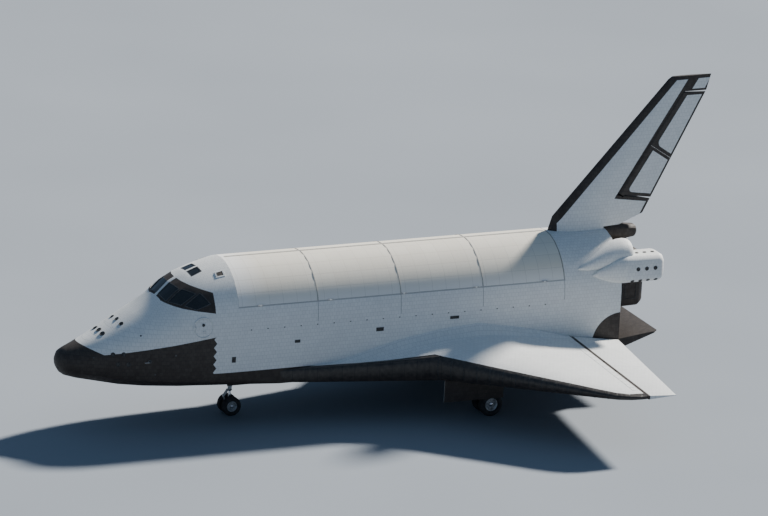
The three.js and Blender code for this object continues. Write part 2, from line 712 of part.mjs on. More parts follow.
function wheelPair({ x, radius, rim, offset, pin }, y) {
  const z = ground + radius;
  const half = radius * 0.2;
  const profile = [
    [0, -half * 0.8], [pin + 35, -half * 0.8], [pin + 60, -25], [rim - 60, -25], [rim, -half],
    [rim, half], [rim - 60, 30], [pin + 60, 30], [pin + 35, half * 0.9], [0, half * 0.9],
  ];
  const geometryAt = (side) => turned(profile.map(([r, h]) => [r, h * side]), x, y + side * offset, z, 20);
  return pinBar(V(x, y - offset, z), V(x, y + offset, z), pin).add(geometryAt(1)).add(geometryAt(-1));
}

function tyre({ x, radius, width, rim, offset }, y, side) {
  const half = width / 2;
  const bead = radius * 0.2;
  const inner = rim + GAP;
  const profile = [
    [inner, -bead], [inner + 80, -half], [radius - 90, -half], [radius - 25, -half * 0.8],
    [radius, -half * 0.5], [radius, half * 0.5], [radius - 25, half * 0.8], [radius - 90, half],
    [inner + 80, half], [inner, bead],
  ];
  return turned(profile, x, y + side * offset, ground + radius, 20);
}

function noseLeg() {
  const { x } = NOSE_GEAR;
  const top = NOSE_WELL.top - GAP;
  const half = NOSE_WELL.half - GAP;
  let shape = rod(V(x, 0, -900), V(x, 0, top), 95);
  shape = shape.add(rod(V(x, -half, 620), V(x, half, 620), 60, 60, 16));
  shape = shape.add(rod(V(x, 0, -620), V(x + 2000, 0, top + 100), 50, 50, 16));
  for (const y of [-1, 1]) {
    shape = shape.add(rod(V(x, 0, -500), V(x + 60, y * 470, 660), 38, 38, 12));
  }
  return shape.intersect(box(9000, 13000, -half, half, -950, top));
}

function noseSteering() {
  const { x, radius, pin } = NOSE_GEAR;
  const z = ground + radius;
  let shape = rod(V(x, 0, -900 - GAP), V(x, 0, -1080), 110);
  shape = shape.add(rod(V(x, 0, -1070), V(x, 0, z), 62, 62, 20));
  shape = shape.add(rod(V(x, -125, z), V(x, 125, z), 92));
  shape = shape.add(prism([[x - 230, z + 30], [x - 60, z + 60], [x - 60, z - 60], [x - 230, z - 30]], "y", -50, 50));
  return shape.subtract(boreBar(V(x, -140, z), V(x, 140, z), pin));
}

function mainLeg() {
  const { x, y, radius, pin } = MAIN_GEAR;
  const z = ground + radius;
  const top = MAIN_WELL.top - GAP;
  const [inner, outer] = [MAIN_WELL.inner + GAP, MAIN_WELL.outer - GAP];
  let shape = rod(V(x, y, -900), V(x, y, top), 130);
  shape = shape.add(rod(V(x, y, z), V(x, y, -890), 90));
  shape = shape.add(rod(V(x, inner, 850), V(x, outer, 850), 75, 75, 16));
  shape = shape.add(rod(V(x, y, -700), V(x - 1900, y, top + 100), 60, 60, 16));
  shape = shape.add(rod(V(x, y - 215, z), V(x, y + 215, z), 120));
  shape = shape.intersect(box(19000, 24000, inner, outer, -3000, top));
  return shape.subtract(boreBar(V(x, y - 250, z), V(x, y + 250, z), pin));
}

const noseDoor = () => box(NOSE_WELL.front + 20, NOSE_WELL.rear - 20, NOSE_WELL.half + 5, NOSE_WELL.half + 45, -620, -GAP);

function mainDoor() {
  const { front, rear, outer } = MAIN_WELL;
  return box(front + 20, rear - 20, outer + 5, outer + 50, -1300, 100).subtract(wingShape);
}

// Assembly

add("nose_cap", noseCap(), CARBON);
add("forward_fuselage", forwardFuselage(), WHITE_TILE);
add("crew_hatch", crewHatch(), WHITE_TILE);
for (const [name, corners] of Object.entries(PANES)) {
  const made = pane(corners);
  add(`${name}_left`, made, GLASS);
  add(`${name}_right`, made, GLASS, true);
}
add("flight_deck", flightDeck(), CABIN_GREY);
add("mid_fuselage", midFuselage(), WHITE_TILE);
addBothSides("payload_door", payloadDoor(), BLANKET);
add("aft_fuselage", aftFuselage(), WHITE_TILE);
const flap = add("body_flap", bodyFlap(), BLACK_TILE);
const flapHinge = V(FLAP.x, 0, FLAP.z);
flap.rotation.y = -rad(FLAP.rest);
flap.position.copy(flapHinge).sub(flapHinge.clone().applyEuler(flap.rotation));

addBothSides("wing", wing(), WHITE_TILE);
addBothSides("leading_edge", leadingEdge(), CARBON);
for (const spec of ELEVONS) addBothSides(spec.name, elevon(spec), WHITE_TILE);

add("fin", fin(), WHITE_TILE);
add("rudder_spindle", spindle(), STEEL);
const panels = {
  rudder_lower: rudderPanel([70, EDGE_SLOPE.low], [RUDDER.split - 5, 0]),
  rudder_upper: rudderPanel([RUDDER.split + 5, 0], [hingeLength - 80, EDGE_SLOPE.high]),
};
for (const [name, shape] of Object.entries(panels)) addBothSides(name, shape, WHITE_TILE);

add("engine_block", engineBlock(), BLACK_TILE);
addBothSides("engine_nozzle", nozzle(), NOZZLE);
addBothSides("thruster_pod", pod(), WHITE_TILE);
add("parachute_housing", parachuteHousing(), BLACK_TILE);

add("nose_leg", noseLeg(), STEEL);
add("nose_steering_leg", noseSteering(), STEEL);
add("nose_wheels", wheelPair(NOSE_GEAR, 0), STEEL);
for (const [side, name] of [[1, "right"], [-1, "left"]]) {
  add(`nose_tyre_${name}`, tyre(NOSE_GEAR, 0, side), RUBBER);
}
addBothSides("main_leg", mainLeg(), STEEL);
addBothSides("main_wheels", wheelPair(MAIN_GEAR, MAIN_GEAR.y), STEEL);
for (const [side, name] of [[1, "main_outer_tyre"], [-1, "main_inner_tyre"]]) {
  addBothSides(name, tyre(MAIN_GEAR, MAIN_GEAR.y, side), RUBBER);
}
addBothSides("nose_gear_door", noseDoor(), WHITE_TILE);
for (const door of addBothSides("main_gear_door", mainDoor(), WHITE_TILE)) door.position.z = -GAP;

export default group;
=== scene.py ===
# %% [markdown]
# A space shuttle orbiter, parked on its gear
#
# This lesson dresses a solid model of a winged orbiter. The solids give the true sizes and the joints.
# Here they get smooth skins, tiles, blankets, windows, thruster ports, seams and running gear.
# Lengths are metres. X runs aft, Y to starboard and Z up, with the ground at Z = 0.

# %% Load the model
import json
import math
import bmesh
import bpy
from mathutils import Matrix, Vector

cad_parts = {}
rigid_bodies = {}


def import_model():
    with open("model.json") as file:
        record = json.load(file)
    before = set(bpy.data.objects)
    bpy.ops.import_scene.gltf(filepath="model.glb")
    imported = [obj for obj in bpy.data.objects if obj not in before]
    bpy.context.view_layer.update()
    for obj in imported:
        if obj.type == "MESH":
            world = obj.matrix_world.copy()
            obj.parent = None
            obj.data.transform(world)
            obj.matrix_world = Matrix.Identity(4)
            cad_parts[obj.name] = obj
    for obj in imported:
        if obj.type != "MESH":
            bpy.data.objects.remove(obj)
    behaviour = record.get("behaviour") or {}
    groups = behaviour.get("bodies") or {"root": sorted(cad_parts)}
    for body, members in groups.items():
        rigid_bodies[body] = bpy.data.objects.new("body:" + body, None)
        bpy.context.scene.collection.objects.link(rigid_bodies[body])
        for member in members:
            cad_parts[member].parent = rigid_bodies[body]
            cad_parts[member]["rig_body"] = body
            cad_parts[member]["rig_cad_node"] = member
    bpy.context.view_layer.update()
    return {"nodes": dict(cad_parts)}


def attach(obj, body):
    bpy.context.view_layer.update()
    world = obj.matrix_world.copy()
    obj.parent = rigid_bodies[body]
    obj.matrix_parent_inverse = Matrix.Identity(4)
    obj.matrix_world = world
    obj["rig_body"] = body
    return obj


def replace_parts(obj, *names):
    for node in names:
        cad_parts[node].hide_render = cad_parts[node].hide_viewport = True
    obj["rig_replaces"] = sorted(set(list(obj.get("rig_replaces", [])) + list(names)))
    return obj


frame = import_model()
nodes = frame["nodes"]

# %% [markdown]
# Aircraft are measured from the nose and from the belly. The same stations are used here, so that a place
# read off a drawing can be typed in as it is.

# %% Stations
NOSE = -18.185  # X of the nose tip
BELLY = 2.36  # Z of the flat belly
CROWN_AXIS = 3.4  # height of the round top's centre above the belly
CROWN_RADIUS = 2.75
SIDES = ((-1, "left"), (1, "right"))


def place(x, y, z):
    return Vector((x + NOSE, y, z + BELLY))


print("tail at X", round(place(36.37, 0, 0).x, 3))

# %% [markdown]
# The photograph was taken from far off with a long lens, from ahead of the port wing and somewhat above.
# A long lens keeps the lines nearly parallel. The camera is rolled a little, as the picture is.

# %% Camera
VIEW = {"azimuth": -25.0, "elevation": 17.0, "roll": 3.0, "distance": 380.0, "width": 39.6}
AIM = place(18.1, 0, 5.35)

turn, rise, roll = (math.radians(VIEW[k]) for k in ("azimuth", "elevation", "roll"))
back = Vector((math.sin(turn) * math.cos(rise), -math.cos(turn) * math.cos(rise), math.sin(rise)))
camera = bpy.data.objects.new("camera", bpy.data.cameras.new("camera"))
bpy.context.scene.collection.objects.link(camera)
camera.data.sensor_width = 36
camera.data.lens = 36 * VIEW["distance"] / VIEW["width"]
camera.data.clip_start = 10
camera.data.clip_end = 5000
camera.location = AIM + back * VIEW["distance"]
camera.rotation_mode = "QUATERNION"
camera.rotation_quaternion = (-back).to_track_quat("-Z", "Y") @ Matrix.Rotation(roll, 4, "Z").to_quaternion()
bpy.context.scene.camera = camera
print("lens", round(camera.data.lens), "mm at", VIEW["distance"], "m")

# %% [markdown]
# The key light is behind the craft on the starboard side, as the sun was. The shadow edges that the fin and
# the body throw on the port wing give its direction. The top is bright and the port side is in soft shade,
# which a pale blue surround fills.

# %% Light
sun = bpy.data.objects.new("key", bpy.data.lights.new("key", "SUN"))
sun.data.energy = 9.4
sun.data.angle = math.radians(5)
sun.data.color = (1.0, 0.965, 0.9)
towards_sun = Vector((1.16, 0.47, 0.88))
sun.rotation_mode = "QUATERNION"
sun.rotation_quaternion = towards_sun.to_track_quat("Z", "Y")
bpy.context.scene.collection.objects.link(sun)

world = bpy.data.worlds.new("surround")
bpy.context.scene.world = world
world.use_nodes = True
sky = world.node_tree.nodes["Background"]
sky.inputs["Color"].default_value = (0.42, 0.65, 1.0, 1)
sky.inputs["Strength"].default_value = 0.3
print("key light", sun.data.energy, "and surround", sky.inputs["Strength"].default_value)

# %% [markdown]
# Every finish is a small tree of nodes. With this helper each node takes one line. It reads the place on
# the object as a station and a height, so paint borders can be given as on a drawing.


# %% Finish helper
class Finish:
    def __init__(self, name, roughness=0.6, metal=0.0, **constants):
        self.material = bpy.data.materials.new(name)
        self.material.use_nodes = True
        self.tree = self.material.node_tree
        self.shader = self.tree.nodes["Principled BSDF"]
        self.shader.inputs["Metallic"].default_value = metal
        self.shader.inputs["Roughness"].default_value = roughness
        for key, value in constants.items():
            self.shader.inputs[key.replace("_", " ")].default_value = value
        where = self.tree.nodes.new("ShaderNodeTexCoord")
        self.object = where.outputs["Object"]
        axes = self.node("ShaderNodeSeparateXYZ", {0: self.object}).outputs
        self.x = self.plus(axes[0], -NOSE)
        self.y = axes[1]
        self.z = self.minus(axes[2], BELLY)
        self.side = self.distance(axes[1])
        facing = self.node("ShaderNodeSeparateXYZ", {0: where.outputs["Normal"]}).outputs
        self.up = facing[2]
        self.aft = facing[0]
        self.flat = self.math("GREATER_THAN", self.distance(facing[2]), 0.72)
        self.across = self.math("GREATER_THAN", self.distance(facing[0]), 0.72)

    def node(self, kind, inputs, **settings):
        made = self.tree.nodes.new(kind)
        for key, value in settings.items():
            setattr(made, key, value)
        for key, value in inputs.items():
            if isinstance(value, bpy.types.NodeSocket):
                self.tree.links.new(value, made.inputs[key])
            else:
                made.inputs[key].default_value = value
        return made

    def math(self, operation, a, b=0.0, c=None):
        inputs = {0: a, 1: b} if c is None else {0: a, 1: b, 2: c}
        return self.node("ShaderNodeMath", inputs, operation=operation).outputs[0]

    def plus(self, a, b):
        return self.math("ADD", a, b)

    def minus(self, a, b):
        return self.math("SUBTRACT", a, b)

    def times(self, a, b):
        return self.math("MULTIPLY", a, b)

    def distance(self, a):
        return self.math("ABSOLUTE", a)

    def zigzag(self, a, half):
        return self.math("PINGPONG", a, half)

    def below(self, a, b):
        return self.math("LESS_THAN", a, b)

    def above(self, a, b):
        return self.math("GREATER_THAN", a, b)

    def both(self, *masks):
        made = masks[0]
        for mask in masks[1:]:
            made = self.math("MINIMUM", made, mask)
        return made

    def either(self, *masks):
        made = masks[0]
        for mask in masks[1:]:
            made = self.math("MAXIMUM", made, mask)
        return made

    def line(self, a, start, slope):
        return self.math("MULTIPLY_ADD", a, slope, start)

    def mix(self, share, a, b):
        made = self.node("ShaderNodeMix", {0: share, 6: a, 7: b}, data_type="RGBA")
        return made.outputs[2]

    def blend(self, share, a, b):
        return self.node("ShaderNodeMix", {0: share, 2: a, 3: b}).outputs[0]

    def noise(self, scale, detail=3.0, stretch=(1, 1, 1), rough=0.5):
        spot = self.node("ShaderNodeMapping", {"Vector": self.object, "Scale": stretch}).outputs[0]
        made = self.node("ShaderNodeTexNoise", {"Vector": spot, "Scale": scale, "Detail": detail,
                                                "Roughness": rough})
        return made.outputs[0]

    def ramp(self, value, low, high, out_low=0.0, out_high=1.0):
        return self.node("ShaderNodeMapRange", {0: value, 1: low, 2: high, 3: out_low,
                                                4: out_high}).outputs[0]

    def wrapped(self):
        """Height up a flat side, then the way round the crown, with no step between them."""
        over = self.minus(self.z, CROWN_AXIS)
        around = self.times(self.math("ARCTAN2", over, self.side), CROWN_RADIUS)
        return self.blend(self.above(over, 0.0), over, around)

    def tiles(self, size, seam=0.007, offset=0.5, wrap=False):
        on_end = self.node("ShaderNodeCombineXYZ", {0: self.y, 1: self.z}).outputs[0]
        on_top = self.node("ShaderNodeCombineXYZ", {0: self.x, 1: self.y}).outputs[0]
        on_side = self.node("ShaderNodeCombineXYZ", {0: self.x,
                                                     1: self.wrapped() if wrap else self.z}).outputs[0]
        flat = self.below(self.up, -0.72) if wrap else self.flat
        spot = self.node("ShaderNodeMix", {0: flat, 4: on_side, 5: on_top}, data_type="VECTOR").outputs[1]
        spot = self.node("ShaderNodeMix", {0: self.across, 4: spot, 5: on_end}, data_type="VECTOR").outputs[1]
        brick = self.node(
            "ShaderNodeTexBrick",
            {"Vector": spot, "Color1": (0, 0, 0, 1), "Color2": (1, 1, 1, 1), "Mortar": (0.5, 0.5, 0.5, 1),
             "Scale": 1.0, "Mortar Size": seam, "Mortar Smooth": 0.3, "Brick Width": size,
             "Row Height": size},
            offset=offset,
        )
        return brick.outputs["Color"], brick.outputs["Fac"]

    def colour(self, socket):
        self.tree.links.new(socket, self.shader.inputs["Base Color"])

    def rough(self, socket):
        self.tree.links.new(socket, self.shader.inputs["Roughness"])

    def bump(self, height, strength=0.3, depth=0.01):
        made = self.node("ShaderNodeBump", {"Height": height, "Strength": strength, "Distance": depth})
        self.tree.links.new(made.outputs[0], self.shader.inputs["Normal"])


WHITE = (0.80, 0.81, 0.80, 1)
BLACK = (0.026, 0.017, 0.013, 1)
CREAM = (0.80, 0.755, 0.655, 1)
BELLY_TOP = 0.82  # up to here the sides of the body are black
FIRST_JOINT = 13.3  # where the first two panels of a cargo door meet
print("finish helper ready")

# %% [markdown]
# The white sides are silica tiles 20 to 22 cm square. Each has its own shade, with dark joints
# between, and rain and age leave long faint streaks. The black tiles underneath are the same with a
# darker glaze. One tree makes both, and a mask made from stations says which shows.


# %% Tiles
def tile_finish(name, is_black=None, size=0.2, white=WHITE, wrap=False):
    f = Finish(name, 0.62)
    shade, seam = f.tiles(size, wrap=wrap)
    cloud = f.noise(0.35, 5, (0.5, 1, 1.4), 0.6)
    fine = f.noise(7, 3)
    pale = f.mix(shade, [c * 0.93 for c in white[:3]] + [1], white)
    pale = f.mix(f.ramp(cloud, 0.4, 0.75, 0, 0.32), pale, (0.62, 0.63, 0.62, 1))
    pale = f.mix(f.ramp(fine, 0.45, 0.8, 0, 0.16), pale, (0.55, 0.55, 0.54, 1))
    pale = f.mix(f.times(seam, 0.5), pale, (0.36, 0.37, 0.38, 1))
    dark = f.mix(shade, BLACK, (0.042, 0.032, 0.026, 1))
    dark = f.mix(f.ramp(cloud, 0.45, 0.8, 0, 0.5), dark, (0.07, 0.055, 0.045, 1))
    dark = f.mix(seam, dark, (0.012, 0.01, 0.009, 1))
    if is_black is None:
        f.colour(pale)
    else:
        mask = is_black(f)
        f.colour(f.mix(mask, pale, dark) if mask is not None else dark)
    f.rough(f.ramp(fine, 0.3, 0.8, 0.5, 0.75))
    f.bump(f.minus(f.times(fine, 0.15), seam), 0.35, 0.006)
    return f.material


def chin(f):
    """Black below a line that climbs aft, back to a toothed edge, then only low on the side."""
    front = f.line(f.x, 2.72, -0.39)
    climb = f.line(f.x, 1.575, 0.1546)
    top = f.math("MAXIMUM", front, climb)
    teeth = f.times(f.zigzag(f.z, 0.22), 0.75)
    edge = f.plus(7.6, teeth)
    patch = f.both(f.below(f.z, top), f.below(f.x, edge))
    window = window_band(f)
    return f.either(patch, f.below(f.z, BELLY_TOP), window)


def window_band(f):
    """The black surround of the cockpit windows, on both sides of a white centre strip."""
    low = f.line(f.x, 5.1, -0.145)
    high = f.math("MINIMUM", f.line(f.x, -2.35, 1.28), f.line(f.x, 6.95, -0.262))
    return f.both(f.above(f.z, low), f.below(f.z, high), f.above(f.x, 5.36), f.below(f.x, 7.68),
                  f.above(f.side, 0.13))


def all_black(f):
    return None


HINGE_LINE = 27.8  # where the elevons turn


def under(f):
    """Black below, and a dark band along the elevon hinge line on top."""
    seal = f.below(f.distance(f.minus(f.x, HINGE_LINE - 0.05)), 0.11)
    return f.either(f.below(f.up, -0.12), seal)


def aft_corner(f):
    ahead = f.minus(f.x, 30.6)
    over = f.minus(f.z, 0.6)
    reach = f.math("SQRT", f.plus(f.times(ahead, ahead), f.times(over, over)))
    base = f.both(f.above(f.aft, 0.7), f.below(f.z, 5.2))
    return f.either(f.below(f.z, BELLY_TOP), f.below(reach, 1.62), base)


def door_outside(f):
    """The gear doors are part of the black belly when they are shut."""
    nose_door = f.both(f.above(f.side, 0.645), f.below(f.side, 1.0))
    return f.either(nose_door, f.above(f.side, 4.285))


WHITE_TILES = tile_finish("white tiles")
NOSE_TILES = tile_finish("nose tiles", chin, wrap=True)
WING_TILES = tile_finish("wing tiles", under, 0.22)
BLACK_TILES = tile_finish("black tiles", all_black)
AFT_TILES = tile_finish("aft tiles", aft_corner, wrap=True)
GEAR_DOOR = tile_finish("gear door", door_outside)
print("tile finishes", len(bpy.data.materials))

# %% [markdown]
# The payload bay is a trough in the mid fuselage. Outside it is tiled, inside it is lined with pale
# quilted cloth. The distance from the centre of the round bay tells the inside from the outside.


# %% Bay and doors
DOOR_PITCH = 4.65  # length of a door panel between its joints
SILL = 4.24  # lower edge of the doors


def from_bay_axis(f):
    over = f.minus(f.z, CROWN_AXIS)
    return f.math("SQRT", f.plus(f.times(f.y, f.y), f.times(over, over)))


def quilt(f, size, depth):
    a = f.zigzag(f.x, size / 2)
    b = f.zigzag(f.plus(f.y, f.z), size / 2)
    return f.times(f.math("MINIMUM", a, b), depth)


def body_finish():
    f = Finish("side tiles and bay lining", 0.62)
    shade, seam = f.tiles(0.2, wrap=True)
    cloud = f.noise(0.35, 5, (0.5, 1, 1.4), 0.6)
    fine = f.noise(7, 3)
    pale = f.mix(shade, (0.745, 0.75, 0.745, 1), WHITE)
    pale = f.mix(f.ramp(cloud, 0.4, 0.75, 0, 0.34), pale, (0.60, 0.61, 0.61, 1))
    pale = f.mix(f.times(seam, 0.5), pale, (0.36, 0.37, 0.38, 1))
    joint = f.both(f.below(f.zigzag(f.minus(f.x, FIRST_JOINT), DOOR_PITCH / 2), 0.02), f.above(f.z, 3.2))
    sill = f.both(f.above(f.z, SILL - 0.05), f.above(f.side, 2.3))
    pale = f.mix(f.times(f.either(joint, sill), 0.6), pale, (0.2, 0.2, 0.2, 1))
    dark = f.mix(shade, BLACK, (0.042, 0.032, 0.026, 1))
    skin = f.mix(f.below(f.z, BELLY_TOP), pale, dark)
    lining = f.mix(f.ramp(quilt(f, 0.3, 6.0), 0, 0.25), (0.42, 0.44, 0.42, 1), (0.68, 0.70, 0.66, 1))
    lining = f.mix(f.ramp(fine, 0.4, 0.8, 0, 0.3), lining, (0.5, 0.47, 0.38, 1))
    inside = f.both(f.below(from_bay_axis(f), 2.385), f.above(f.z, 0.9), f.above(f.x, 9.02),
                    f.below(f.x, 27.18))
    f.colour(f.mix(inside, skin, lining))
    height = f.blend(inside, f.minus(0.0, seam), quilt(f, 0.3, 8.0))
    f.bump(height, 0.4, 0.01)
    return f.material


def door_finish():
    f = Finish("door blankets", 0.85)
    cloud = f.noise(0.5, 5, (0.35, 1, 1), 0.6)
    fine = f.noise(16, 4)
    sheet, joint = f.tiles(0.76, 0.014, 0.0, True)
    cloth = f.mix(sheet, (0.765, 0.715, 0.615, 1), CREAM)
    cloth = f.mix(f.ramp(cloud, 0.42, 0.7, 0, 0.5), cloth, (0.70, 0.66, 0.575, 1))
    # Painted light: the lower strip of each door faces sideways and is painted whiter than the cream above,
    # the look that the side light gives it. The front end of the doors also fades to white.
    pale = f.either(f.ramp(f.z, 4.3, 4.95, 0.8, 0.0), f.ramp(f.x, 9.2, 10.6, 0.9, 0.0))
    cloth = f.mix(pale, cloth, (0.80, 0.80, 0.79, 1))
    cloth = f.mix(f.times(joint, 0.4), cloth, (0.45, 0.42, 0.37, 1))
    panel_joint = f.below(f.zigzag(f.minus(f.x, FIRST_JOINT), DOOR_PITCH / 2), 0.024)
    cloth = f.mix(f.times(panel_joint, 0.85), cloth, (0.16, 0.15, 0.14, 1))
    radiator = f.mix(f.ramp(f.zigzag(f.x, 0.06), 0, 0.012), (0.5, 0.52, 0.53, 1), (0.80, 0.81, 0.82, 1))
    inner = f.below(from_bay_axis(f), 2.7)
    f.colour(f.mix(inner, cloth, radiator))
    f.rough(f.blend(inner, f.ramp(fine, 0.3, 0.8, 0.78, 0.92), 0.3))
    f.bump(f.plus(quilt(f, 0.25, 2.2), f.times(fine, 0.25)), 0.3, 0.012)
    return f.material


BODY_SKIN = body_finish()
DOOR_SKIN = door_finish()
print("bay and door finishes made")

# %% [markdown]
# The fin is white with a black leading edge, a black tip and black frames round the two rudder panels.
# Each border is a line on the side view, so a height and a slope give it.


# %% Fin
HINGE = {"low": (31.35, 7.79), "high": (34.85, 13.15)}
HINGE_LONG = math.dist(HINGE["low"], HINGE["high"])
HINGE_WAY = ((HINGE["high"][0] - HINGE["low"][0]) / HINGE_LONG,
             (HINGE["high"][1] - HINGE["low"][1]) / HINGE_LONG)


def along_hinge(f):
    dx = f.minus(f.x, HINGE["low"][0])
    dz = f.minus(f.z, HINGE["low"][1])
    up = f.plus(f.times(dx, HINGE_WAY[0]), f.times(dz, HINGE_WAY[1]))
    aft = f.minus(f.times(dx, HINGE_WAY[1]), f.times(dz, HINGE_WAY[0]))
    return up, aft


def rounded(f, a, b, radius):
    """Inside two crossing borders whose corner is rounded; a and b are the distances from them."""
    over_a = f.math("MAXIMUM", f.minus(radius, a), 0.0)
    over_b = f.math("MAXIMUM", f.minus(radius, b), 0.0)
    return f.below(f.plus(f.times(over_a, over_a), f.times(over_b, over_b)), radius**2)


FOOT_SLOPE, HEAD_SLOPE = 0.416, 0.6196  # of the rudder's lower and upper edges


def trailing_edge(f):
    return f.line(f.z, 29.43, 0.5106)


def fin_black(f):
    leading = f.math("MAXIMUM", f.line(f.z, 21.42, 0.8996), 27.3)
    trailing = trailing_edge(f)
    edge = f.below(f.minus(f.x, leading), 0.5)
    tip = f.above(f.z, 13.8)
    tail = f.above(f.minus(f.x, trailing), -0.15)
    up, aft = along_hinge(f)
    over_foot = f.minus(up, f.times(aft, FOOT_SLOPE))
    frame_band = f.both(f.above(aft, -0.24), f.above(over_foot, -0.2), f.below(aft, 0.3))
    foot = f.both(f.below(over_foot, 0.12), f.above(over_foot, -0.2), f.above(aft, -0.24))
    head = f.minus(up, f.times(aft, HEAD_SLOPE))
    cap = f.both(f.above(head, HINGE_LONG - 0.2), f.below(head, HINGE_LONG + 0.14), f.above(aft, -0.24))
    return f.either(edge, tip, tail, frame_band, foot, cap)


def rudder_black(low, high, low_slope, high_slope):
    def mask(f):
        up, aft = along_hinge(f)
        trailing = trailing_edge(f)
        bottom = f.minus(up, f.times(aft, low_slope))
        top = f.minus(up, f.times(aft, high_slope))
        inside = rounded(f, f.minus(aft, 0.24), f.minus(bottom, low + 0.2), 0.3)
        middle = f.both(inside, f.below(f.minus(f.x, trailing), -0.13), f.below(top, high - 0.17),
                        f.above(f.side, 0.008))
        return f.minus(1.0, middle)
    return mask


FIN_TILES = tile_finish("fin tiles", fin_black)
RUDDER_LOW = tile_finish("lower rudder tiles", rudder_black(0.07, 3.08, FOOT_SLOPE, 0.0))
RUDDER_HIGH = tile_finish("upper rudder tiles", rudder_black(3.08, 6.32, 0.0, HEAD_SLOPE))
print("rudder hinge is", round(HINGE_LONG, 2), "m long")


# %% [markdown]
# The rest of the craft has plainer finishes: carbon leading edges, dark glass, painted steel legs, bare
# rims, rubber and heat-stained nozzles. Each still has its own wear, so none is one flat colour.


# %% Carbon, glass, metal and rubber
def carbon():
    f = Finish("carbon edge panels", 0.42)
    fine = f.noise(5, 4)
    seam = f.math("LESS_THAN", f.zigzag(f.plus(f.x, f.times(f.side, 0.6)), 0.36), 0.012)
    base = f.mix(f.ramp(fine, 0.35, 0.75), (0.02, 0.016, 0.014, 1), (0.055, 0.046, 0.04, 1))
    f.colour(f.mix(seam, base, (0.004, 0.004, 0.004, 1)))
    f.rough(f.ramp(fine, 0.3, 0.8, 0.35, 0.55))
    f.bump(f.minus(f.times(fine, 0.2), seam), 0.4, 0.008)
    return f.material


def glass():
    f = Finish("cockpit glass", 0.06, IOR=1.5)
    dust = f.noise(3, 4)
    f.colour(f.mix(f.ramp(dust, 0.4, 0.8, 0, 0.25), (0.010, 0.011, 0.013, 1), (0.05, 0.055, 0.06, 1)))
    f.rough(f.ramp(dust, 0.4, 0.8, 0.04, 0.14))
    return f.material


def metal(name, colour, stain, roughness=0.35, shine=1.0, scale=9):
    f = Finish(name, roughness, shine)
    wear = f.noise(scale, 5)
    f.colour(f.mix(f.ramp(wear, 0.42, 0.72), colour, stain))
    f.rough(f.ramp(wear, 0.3, 0.8, roughness, roughness + 0.2))
    f.bump(wear, 0.1, 0.003)
    return f.material


def coat(name, roughness, scale, fresh, worn, strength, depth):
    f = Finish(name, roughness)
    wear = f.noise(scale, 4)
    f.colour(f.mix(f.ramp(wear, 0.4, 0.7), fresh, worn))
    f.bump(wear, strength, depth)
    return f.material


def rubber():
    f = Finish("tyre rubber", 0.85)
    dust = f.noise(6, 5)
    f.colour(f.mix(f.ramp(dust, 0.4, 0.75), (0.018, 0.018, 0.019, 1), (0.06, 0.055, 0.05, 1)))
    f.bump(f.noise(60, 2), 0.15, 0.003)
    return f.material


def radiator():
    f = Finish("radiator panel", 0.22, 0.85)
    wear = f.noise(2, 4)
    ribs = f.zigzag(f.x, 0.05)
    f.colour(f.mix(f.ramp(wear, 0.4, 0.7), (0.80, 0.82, 0.84, 1), (0.66, 0.68, 0.70, 1)))
    f.bump(ribs, 0.5, 0.01)
    return f.material


CARBON = carbon()
RADIATOR = radiator()
GLASS = glass()
LEG_PAINT = metal("leg enamel", (0.62, 0.64, 0.64, 1), (0.40, 0.41, 0.40, 1), 0.4, 0.0)
CHROME = metal("polished strut", (0.80, 0.81, 0.82, 1), (0.62, 0.63, 0.65, 1), 0.12)
RIM_METAL = metal("rim metal", (0.60, 0.61, 0.62, 1), (0.34, 0.34, 0.34, 1), 0.38)
NOZZLE_METAL = metal("nozzle metal", (0.20, 0.17, 0.145, 1), (0.085, 0.075, 0.08, 1), 0.42, 0.9, 3)
DARK_METAL = metal("dark metal", (0.07, 0.07, 0.07, 1), (0.03, 0.03, 0.03, 1), 0.5, 0.6)
CABIN_PAINT = metal("cabin paint", (0.34, 0.38, 0.36, 1), (0.25, 0.28, 0.27, 1), 0.6, 0.0)
RUBBER = rubber()
print("finishes", len(bpy.data.materials))

# %% [markdown]
# The solids come with flat facets. Each is copied, its doubled points are merged and its gentle edges are
# shaded smooth, while real corners stay sharp. The copy stands for the solid from then on.


# %% Smooth skins
LOOKS = {
    "nose_cap": (BLACK_TILES, 60), "forward_fuselage": (NOSE_TILES, 28), "mid_fuselage": (BODY_SKIN, 28),
    "aft_fuselage": (AFT_TILES, 28), "crew_hatch": (NOSE_TILES, 28), "payload_door_right": (DOOR_SKIN, 28),
    "payload_door_left": (DOOR_SKIN, 28), "wing_right": (WING_TILES, 24), "wing_left": (WING_TILES, 24),
    "leading_edge_right": (CARBON, 40), "leading_edge_left": (CARBON, 40), "fin": (FIN_TILES, 24),
    "rudder_lower_right": (RUDDER_LOW, 24), "rudder_lower_left": (RUDDER_LOW, 24),
    "rudder_upper_right": (RUDDER_HIGH, 24), "rudder_upper_left": (RUDDER_HIGH, 24),
    "rudder_spindle": (DARK_METAL, 40), "body_flap": (BLACK_TILES, 30), "engine_block": (BLACK_TILES, 50),
    "thruster_pod": (WHITE_TILES, 50), "parachute_housing": (BLACK_TILES, 50), "elevon": (WING_TILES, 24),
    "engine_nozzle": (NOZZLE_METAL, 50), "flight_deck": (CABIN_PAINT, 30), "windscreen": (GLASS, 20),
    "corner_pane": (GLASS, 20), "side_pane": (GLASS, 20), "overhead_pane": (GLASS, 20),
    "nose_leg": (LEG_PAINT, 35), "nose_steering_leg": (LEG_PAINT, 35), "main_leg": (LEG_PAINT, 35),
    "nose_wheels": (RIM_METAL, 35), "main_wheels": (RIM_METAL, 35), "tyre": (RUBBER, 50),
    "gear_door": (GEAR_DOOR, 30),
}


ROUNDED = {"thruster_pod": (30.57, 0.1), "parachute_housing": (30.57, 0.06), "engine_block": (30.57, 0.08)}


def deselect():
    bpy.ops.object.select_all(action="DESELECT")


